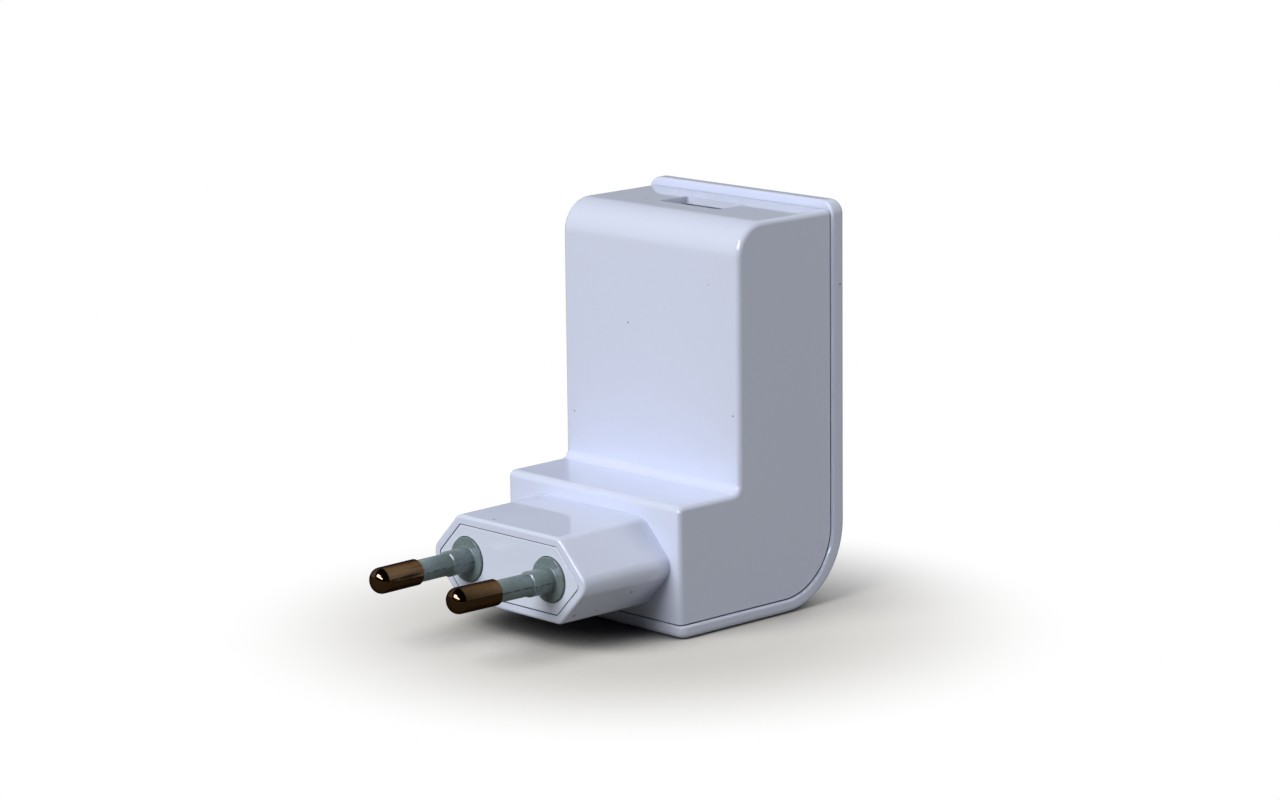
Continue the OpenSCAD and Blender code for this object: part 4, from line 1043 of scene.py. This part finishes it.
def make_specks():
    """Dust: a few cells of a Voronoi pattern hold a small round speck, where the mask is 1."""
    tree, given, result = new_group("Dust Specks", "Mask", Point=ORIGIN, Scale=160.0, Share=0.06, Radius=0.16)
    cells = add_node(tree, "TexVoronoi", {"Vector": given["Point"], "Scale": given["Scale"]}).outputs
    pick = add_node(tree, "SeparateColor", {0: cells["Color"]}).outputs
    held = maths(tree, "LESS_THAN", pick[0], given["Share"])
    size = product(tree, given["Radius"], maths(tree, "ADD", pick[1], 0.35))
    edge = maths(tree, "DIVIDE", maths(tree, "SUBTRACT", size, cells["Distance"]), size)
    feed(tree, result, product(tree, held, product(tree, edge, 3.0, clamp=True)))
    return tree


def make_hairlines():
    """Fine hairlines: thin level lines of a stretched noise, kept only where a second noise is high."""
    tree, given, result = new_group("Hairlines", "Mask", Point=ORIGIN, Scale=120.0, Stretch=(1, 1, 8),
                                    Width=0.006, Share=0.55)
    lines = noise(tree, vectors(tree, "MULTIPLY", given["Point"], given["Stretch"]), given["Scale"], 0.0)
    off = maths(tree, "ABSOLUTE", maths(tree, "SUBTRACT", lines, 0.5))
    thin = maths(tree, "SUBTRACT", 1.0, maths(tree, "DIVIDE", off, given["Width"]), clamp=True)
    kept = maths(tree, "GREATER_THAN", noise(tree, given["Point"], 230.0, 1.0), given["Share"])
    feed(tree, result, product(tree, thin, kept))
    return tree


def make_crevice_shade():
    """Painted shade mask: how shut in a point is, 0 in the open and 1 where walls closer than the distance
    stand round it.
    """
    tree, given, result = new_group("Crevice Shade", "Mask", Distance=0.0006, Open=0.6, Shut=0.15)
    around = add_node(tree, "AmbientOcclusion", {"Distance": given["Distance"]}, samples=8).outputs["AO"]
    feed(tree, result, ramp(tree, around, given["Open"], given["Shut"]))
    return tree


MOTTLE, SPECKS, HAIRLINES, CREVICE_SHADE = make_mottle(), make_specks(), make_hairlines(), make_crevice_shade()
# the colour that hollows darken towards, a painted shade in seams, grooves and recesses
CREVICE_SHADE_TONE = (0.05, 0.05, 0.065)
DUST_TONE = (0.1, 0.09, 0.08)


def placed(tree, group, **inputs):
    """The output of a shared group, with its inputs by name."""
    given = {key.replace("_", " "): value for key, value in inputs.items()}
    return add_node(tree, "Group", given, node_tree=group).outputs[0]


def finish(name, light, dark, rough=(0.3, 0.5), clouds=60.0, grains=900.0, share=0.35, relief=0.0, reach=2e-5,
           dust=None, lines=None, seam=None, crevice_shade=None, **plain):
    """A finish with cloudy colour between light and dark, varied roughness, and fine relief.

    dust is (scale, share, radius, strength), lines (scale, stretch, width, share, added roughness), seam
    (colour, scale, strength), crevice shade (distance in mm, strength) as painted shade in hollows, and plain
    sets the shader's own sockets.
    """
    mat = bpy.data.materials.new(name)
    tree = fresh_tree(mat)
    shader = add_node(tree, "BsdfPrincipled", {key.replace("_", " "): value for key, value in plain.items()})
    add_node(tree, "OutputMaterial", {0: shader.outputs[0]})
    point = add_node(tree, "TexCoord").outputs["Object"]
    tone = placed(tree, MOTTLE, Point=point, Cloud_Scale=clouds, Grain_Scale=grains, Grain_Share=share)
    colour = blend(tree, remap(tree, tone, 0.0, 1.0), light, dark)
    roughness = remap(tree, tone, *rough)
    if lines:
        scale, stretch, width, kept, rougher = lines
        mask = placed(tree, HAIRLINES, Point=point, Scale=scale, Stretch=stretch, Width=width, Share=kept)
        roughness = maths(tree, "ADD", roughness, product(tree, mask, rougher))
    if dust:
        scale, held, radius, strength = dust
        mask = placed(tree, SPECKS, Point=point, Scale=scale, Share=held, Radius=radius)
        colour = blend(tree, product(tree, mask, strength), colour, DUST_TONE)
        roughness = maths(tree, "ADD", roughness, product(tree, mask, 0.5))
    # painted shade: the colour darkens where walls close round a point, in seams, grooves and recesses
    if crevice_shade:
        distance, strength = crevice_shade
        mask = placed(tree, CREVICE_SHADE, Distance=distance * MM)
        colour = blend(tree, product(tree, mask, strength), colour, CREVICE_SHADE_TONE)
    if seam:
        dirt, scale, strength = seam
        near = add_node(tree, "Attribute", attribute_name="seam").outputs["Fac"]
        held = remap(tree, noise(tree, point, scale), 0.0, strength, 0.42, 0.56)
        colour = blend(tree, product(tree, near, held), colour, dirt)
    feed(tree, shader.inputs["Base Color"], colour)
    feed(tree, shader.inputs["Roughness"], roughness)
    if relief:
        height = add_node(tree, "Bump", {"Strength": relief, "Distance": reach, "Height": tone})
        feed(tree, shader.inputs["Normal"], height.outputs[0])
    return mat


# ---------------------------------------------------------------- finishes

POLISHED = dict(grains=1500.0, share=0.5, reach=1e-5, dust=(400.0, 0.16, 0.11, 0.85))
MOULDED = dict(rough=(0.42, 0.6), clouds=500.0, grains=3500.0, share=0.6, relief=0.4, reach=2e-5)
SHRUNK = dict(rough=(0.18, 0.3), clouds=150.0, relief=0.15)
METAL = dict(Metallic=1.0)

# the case and plate colours darken in their seams and grooves, a painted shade
case_finish = finish("Housing plastic", (0.655, 0.705, 0.86), (0.64, 0.69, 0.845), (0.05, 0.09), 45.0,
                     relief=0.02, crevice_shade=(0.6, 0.9), **POLISHED)
plate_finish = finish("Plate plastic", (0.68, 0.745, 0.88), (0.66, 0.72, 0.86), (0.10, 0.18), 80.0,
                      relief=0.05, crevice_shade=(0.6, 0.95), **POLISHED)
pin_finish = finish("Pin metal", (0.17, 0.105, 0.055), (0.11, 0.062, 0.026), (0.04, 0.09), 160.0, 2500.0,
                    0.4, relief=0.06, reach=5e-6, lines=(60.0, (8.0, 1.0, 8.0), 0.03, 0.45, 0.15),
                    Coat_Weight=0.15, Specular_Tint=(0.02, 0.012, 0.008), **METAL)
# flat dark colour for the flange recesses, a painted shade
recess_shade = finish("Recess shade", (0.07, 0.068, 0.07), (0.03, 0.028, 0.03), (0.5, 0.7), 900.0)
# the sleeve colour darkens round the flange and the root, a painted shade
sleeve_finish = finish("Sleeve nylon", (0.195, 0.265, 0.29), (0.125, 0.16, 0.15), (0.06, 0.12), 220.0,
                       2600.0, 0.4, relief=0.10, reach=1e-5, dust=(420.0, 0.10, 0.2, 0.6),
                       crevice_shade=(0.4, 0.6), seam=((0.025, 0.022, 0.018), 900.0, 0.9))
shell_finish = finish("Port shell nickel", (0.58, 0.58, 0.59), (0.52, 0.52, 0.53), (0.24, 0.32), 150.0,
                      2400.0, lines=(60.0, (10.0, 10.0, 1.0), 0.02, 0.5, 0.08), **METAL)
insulator_finish = finish("Port nylon", (0.80, 0.80, 0.80), (0.74, 0.74, 0.735), (0.3, 0.42), relief=0.1)
contact_finish = finish("Contact gold", (0.86, 0.62, 0.26), (0.70, 0.48, 0.18), (0.15, 0.3), 300.0, **METAL)

insulation = finish("Lead insulation", (0.13, 0.105, 0.10), (0.10, 0.085, 0.085), (0.35, 0.5), 300.0,
                    relief=0.15)
mask_green = finish("Solder mask", (0.10, 0.29, 0.155), (0.075, 0.22, 0.115), (0.22, 0.34), 180.0, 1800.0,
                    relief=0.15, dust=(500.0, 0.1, 0.08, 0.4))
laminate = finish("Glass laminate", (0.52, 0.50, 0.32), (0.42, 0.40, 0.25), (0.5, 0.7), 900.0, relief=0.3)
tinned = finish("Tinned wire", (0.62, 0.61, 0.59), (0.48, 0.47, 0.46), (0.18, 0.36), 400.0, **METAL)
film = finish("Insulating film", (0.88, 0.86, 0.79), (0.83, 0.81, 0.73), (0.25, 0.4), relief=0.1)
navy_skin = finish("Navy shrink sleeve", (0.075, 0.095, 0.22), (0.06, 0.078, 0.17), **SHRUNK)
teal_skin = finish("Teal shrink sleeve", (0.105, 0.17, 0.255), (0.085, 0.14, 0.21), **SHRUNK)
stripe_ink = finish("Sleeve stripe", (0.62, 0.64, 0.66), (0.52, 0.54, 0.57), (0.2, 0.32), 600.0)
can_metal = finish("Can aluminium", (0.72, 0.72, 0.73), (0.60, 0.60, 0.62), (0.22, 0.36), 260.0, 2500.0,
                   **METAL)
ferrite = finish("Ferrite", (0.20, 0.20, 0.21), (0.15, 0.15, 0.16), (0.5, 0.7), 500.0, 3000.0, 0.6,
                 relief=0.5, reach=3e-5)
copper = finish("Enamelled copper", (0.62, 0.29, 0.14), (0.50, 0.22, 0.10), (0.2, 0.3), 350.0, **METAL)
green_coat = finish("Flameproof coating", (0.24, 0.45, 0.32), (0.19, 0.36, 0.26), (0.35, 0.5), 400.0,
                    relief=0.3)
band_brown = finish("Brown band", (0.20, 0.09, 0.045), (0.16, 0.07, 0.035), (0.35, 0.5))
band_black = finish("Black band", (0.03, 0.03, 0.03), (0.02, 0.02, 0.02), (0.35, 0.5))
band_gold = finish("Gold band", (0.60, 0.45, 0.18), (0.5, 0.36, 0.13), (0.3, 0.45), Metallic=0.6)
band_grey = finish("Grey band", (0.55, 0.55, 0.56), (0.47, 0.47, 0.48), (0.35, 0.5))
compound = finish("Black moulding compound", (0.06, 0.06, 0.065), (0.045, 0.045, 0.05), **MOULDED)
pale_compound = finish("White moulding compound", (0.85, 0.85, 0.83), (0.79, 0.79, 0.77), **MOULDED)
glaze = finish("Chip glaze", (0.07, 0.07, 0.08), (0.05, 0.05, 0.06), (0.2, 0.35), 900.0)
phenolic = finish("Phenolic", (0.72, 0.63, 0.46), (0.64, 0.55, 0.39), (0.4, 0.6), 300.0, relief=0.25)
polyester = finish("Polyester tape", (0.87, 0.69, 0.17), (0.80, 0.61, 0.12), (0.12, 0.22), 200.0, relief=0.1,
                   Alpha=0.95)
dip = finish("Epoxy dip", (0.21, 0.42, 0.64), (0.17, 0.35, 0.55), (0.12, 0.22), 160.0, relief=0.2, reach=4e-5)

front_housing()
back_cover()
face_plate()
for side, word in HANDS:
    pin(side, word)
    sleeve(side, word)
port_shell()
inner_parts()


# ---------------------------------------------------------------- floor, light and camera

FLOOR_SIDE, FLOOR_CENTRE, FLOOR_FADE = 6.0, (0.008, 0.004, 0.0), (0.022, 0.066)    # metres
FLOOR_TONE = (0.72, 0.70, 0.66)
FLOOR_CONTACT_SHADE = (14.0, 0.9)                   # painted contact shadow: how far in mm the object shuts in the floor, and how strongly that darkens it
FLOOR_MIRRORED, FLOOR_BOUNCE = (0.15, 0.135, 0.105), (0.27, 0.255, 0.225)
ROOM_LEFT, ROOM_RIGHT = (0.22, 0.23, 0.26), (0.60, 0.62, 0.66)
ROOM_ABOVE, ROOM_SIDE = (0.86, 0.87, 0.90), (0.45, 0.46, 0.50)
ROOM_FRONT, ROOM_EDGE = (0.015, 0.015, 0.015), (0.01, 0.01, 0.01)
# where the mirrored room changes from one tone to the next, over the direction's x, z, x, y and z
LEFT_TO_RIGHT, WALL_TO_ABOVE, SIDE_TO_FRONT = (-0.25, 0.35), (0.30, 0.55), (-0.66, -0.56)
FRONT_TO_BEHIND, EDGE_TO_ROOM = (0.50, 0.62), (0.012, 0.03)
# the window's two panes: x / -y from and to, then z / -y from and to
WINDOW_TALL, WINDOW_LOW = (-0.45, 0.22, 0.36, 1.0), (0.2, 0.8, 0.36, 0.62)
WINDOW_GLOW, WINDOW_EDGE = (13.0, 13.6, 19.0), 0.03
AMBIENT, WHITE = (0.03, 0.03, 0.03), (1.0, 1.0, 1.0)
LAMP_AIM = 0.03                               # height in metres at which the lamps point

# the camera's turns in degrees, its lens in millimetres, and its place from the foot's front in millimetres
CAMERA_YAW, CAMERA_DOWN, CAMERA_ROLL = 46.1026, 11.6808, -0.66809
CAMERA_LENS, SENSOR = 111.396375, 36.0
CAMERA_AT = (428.661, -402.070, 155.531)


def seen_directly(tree):
    """(1 for camera rays and what shines through, 1 for rays seen in gloss)."""
    path = add_node(tree, "LightPath").outputs
    return maths(tree, "MAXIMUM", path["Is Camera Ray"], path["Is Transmission Ray"]), path["Is Glossy Ray"]


def make_floor():
    """A pale floor that keeps the shadow near the object, deepened by a painted contact shadow, and turns
    plain white further out, seen directly.
    """
    mesh = bpy.data.meshes.new("floor")
    mesh.from_pydata(level(rectangle(FLOOR_SIDE, FLOOR_SIDE), 0).tolist(), [], [(0, 1, 2, 3)])
    mat = bpy.data.materials.new("Floor")
    tree = fresh_tree(mat)
    direct, glossy = seen_directly(tree)
    point = add_node(tree, "TexCoord").outputs["Object"]
    far = vectors(tree, "LENGTH", vectors(tree, "SUBTRACT", point, FLOOR_CENTRE), out="Value")
    fade = remap(tree, far, 0.0, 1.0, *FLOOR_FADE, interpolation_type="SMOOTHSTEP")
    # painted contact shadow: the floor's colour darkens where the object closes round it
    shut = placed(tree, CREVICE_SHADE, Distance=FLOOR_CONTACT_SHADE[0] * MM)
    tone = blend(tree, product(tree, shut, FLOOR_CONTACT_SHADE[1]), FLOOR_TONE, CREVICE_SHADE_TONE)
    tone = blend(tree, direct, blend(tree, glossy, FLOOR_BOUNCE, FLOOR_MIRRORED), tone)
    paper = add_node(tree, "BsdfDiffuse", {"Color": tone}).outputs[0]
    glow = add_node(tree, "Emission", {"Strength": 1.0}).outputs[0]
    mix = add_node(tree, "MixShader", {0: product(tree, direct, fade), 1: paper, 2: glow})
    add_node(tree, "OutputMaterial", {0: mix.outputs[0]})
    mesh.materials.append(mat)
    linked("floor", mesh)


def pane(tree, u, v, u0, u1, v0, v1):
    """1 inside the rectangle u0..u1, v0..v1 and 0 outside, with a soft edge."""
    parts = []
    for value, low, high in ((u, u0, u1), (v, v0, v1)):
        half = (high - low) / 2
        off = maths(tree, "ABSOLUTE", maths(tree, "SUBTRACT", value, (low + high) / 2))
        parts.append(remap(tree, off, 1.0, 0.0, half - WINDOW_EDGE, half + WINDOW_EDGE))
    return product(tree, *parts)


def make_world():
    """White to the camera, a dim room with a window in gloss, and an even soft light for everything else."""
    world = bpy.data.worlds.new("Studio")
    bpy.context.scene.world = world
    tree = fresh_tree(world)
    way = add_node(tree, "TexCoord").outputs["Generated"]
    x, y, z = add_node(tree, "SeparateXYZ", {0: way}).outputs
    behind = blend(tree, ramp(tree, x, *LEFT_TO_RIGHT), ROOM_LEFT, ROOM_RIGHT)
    behind = blend(tree, ramp(tree, z, *WALL_TO_ABOVE), behind, ROOM_ABOVE)
    front = blend(tree, ramp(tree, x, *SIDE_TO_FRONT), ROOM_SIDE, ROOM_FRONT)
    ahead = maths(tree, "MAXIMUM", product(tree, y, -1.0), 0.05)
    u, v = maths(tree, "DIVIDE", x, ahead), maths(tree, "DIVIDE", z, ahead)
    window = maths(tree, "MAXIMUM", pane(tree, u, v, *WINDOW_TALL), pane(tree, u, v, *WINDOW_LOW))
    room = blend(tree, ramp(tree, y, *FRONT_TO_BEHIND), blend(tree, window, front, WINDOW_GLOW), behind)
    room = blend(tree, ramp(tree, z, *EDGE_TO_ROOM), ROOM_EDGE, room)
    direct, glossy = seen_directly(tree)
    colour = blend(tree, direct, blend(tree, glossy, AMBIENT, room), WHITE)
    back = add_node(tree, "Background", {"Color": colour})
    add_node(tree, "OutputWorld", {0: back.outputs[0]})


def panel(name, direction, distance, side, shine):
    """A square lamp that faces the object; shine is how bright a white surface turned to it renders."""
    data = bpy.data.lights.new(name, "AREA")
    data.shape, data.size = "SQUARE", side
    data.energy = shine * (np.pi * distance) ** 2
    lamp = linked(name, data)
    towards = Vector(direction).normalized()
    lamp.location = towards * distance + Vector((0, 0, LAMP_AIM))
    lamp.rotation_mode = "QUATERNION"
    lamp.rotation_quaternion = towards.to_track_quat("Z", "Y")
    lamp.visible_glossy = False


def make_camera():
    """A camera turned by yaw, then down, then rolled about its own view."""
    yaw, down, roll = np.radians([CAMERA_YAW, CAMERA_DOWN, CAMERA_ROLL])
    right = np.array([np.cos(yaw), np.sin(yaw), 0])
    ahead = np.array([-np.sin(yaw) * np.cos(down), np.cos(yaw) * np.cos(down), -np.sin(down)])
    up = np.cross(right, ahead)
    pose = np.eye(4)
    pose[:3, 0] = right * np.cos(roll) + up * np.sin(roll)
    pose[:3, 1] = up * np.cos(roll) - right * np.sin(roll)
    pose[:3, 2] = -ahead
    pose[:3, 3] = (np.array(CAMERA_AT) + [0, FRONT, 0]) * MM
    data = bpy.data.cameras.new("camera")
    data.sensor_width, data.lens = SENSOR, CAMERA_LENS
    data.clip_start, data.clip_end = 0.05, 20.0
    camera = linked("camera", data)
    camera.matrix_world = Matrix(pose.tolist())
    bpy.context.scene.camera = camera


make_floor()
make_world()
panel("softbox", (-0.06, -0.75, 0.66), 1.0, 0.8, 1.21)
panel("fill", (1.0, 0.75, 0.42), 1.2, 0.7, 0.36)
panel("back fill", (-0.55, 1.0, 0.22), 1.2, 0.8, 0.40)
make_camera()
bpy.context.scene.view_settings.view_transform = "Standard"
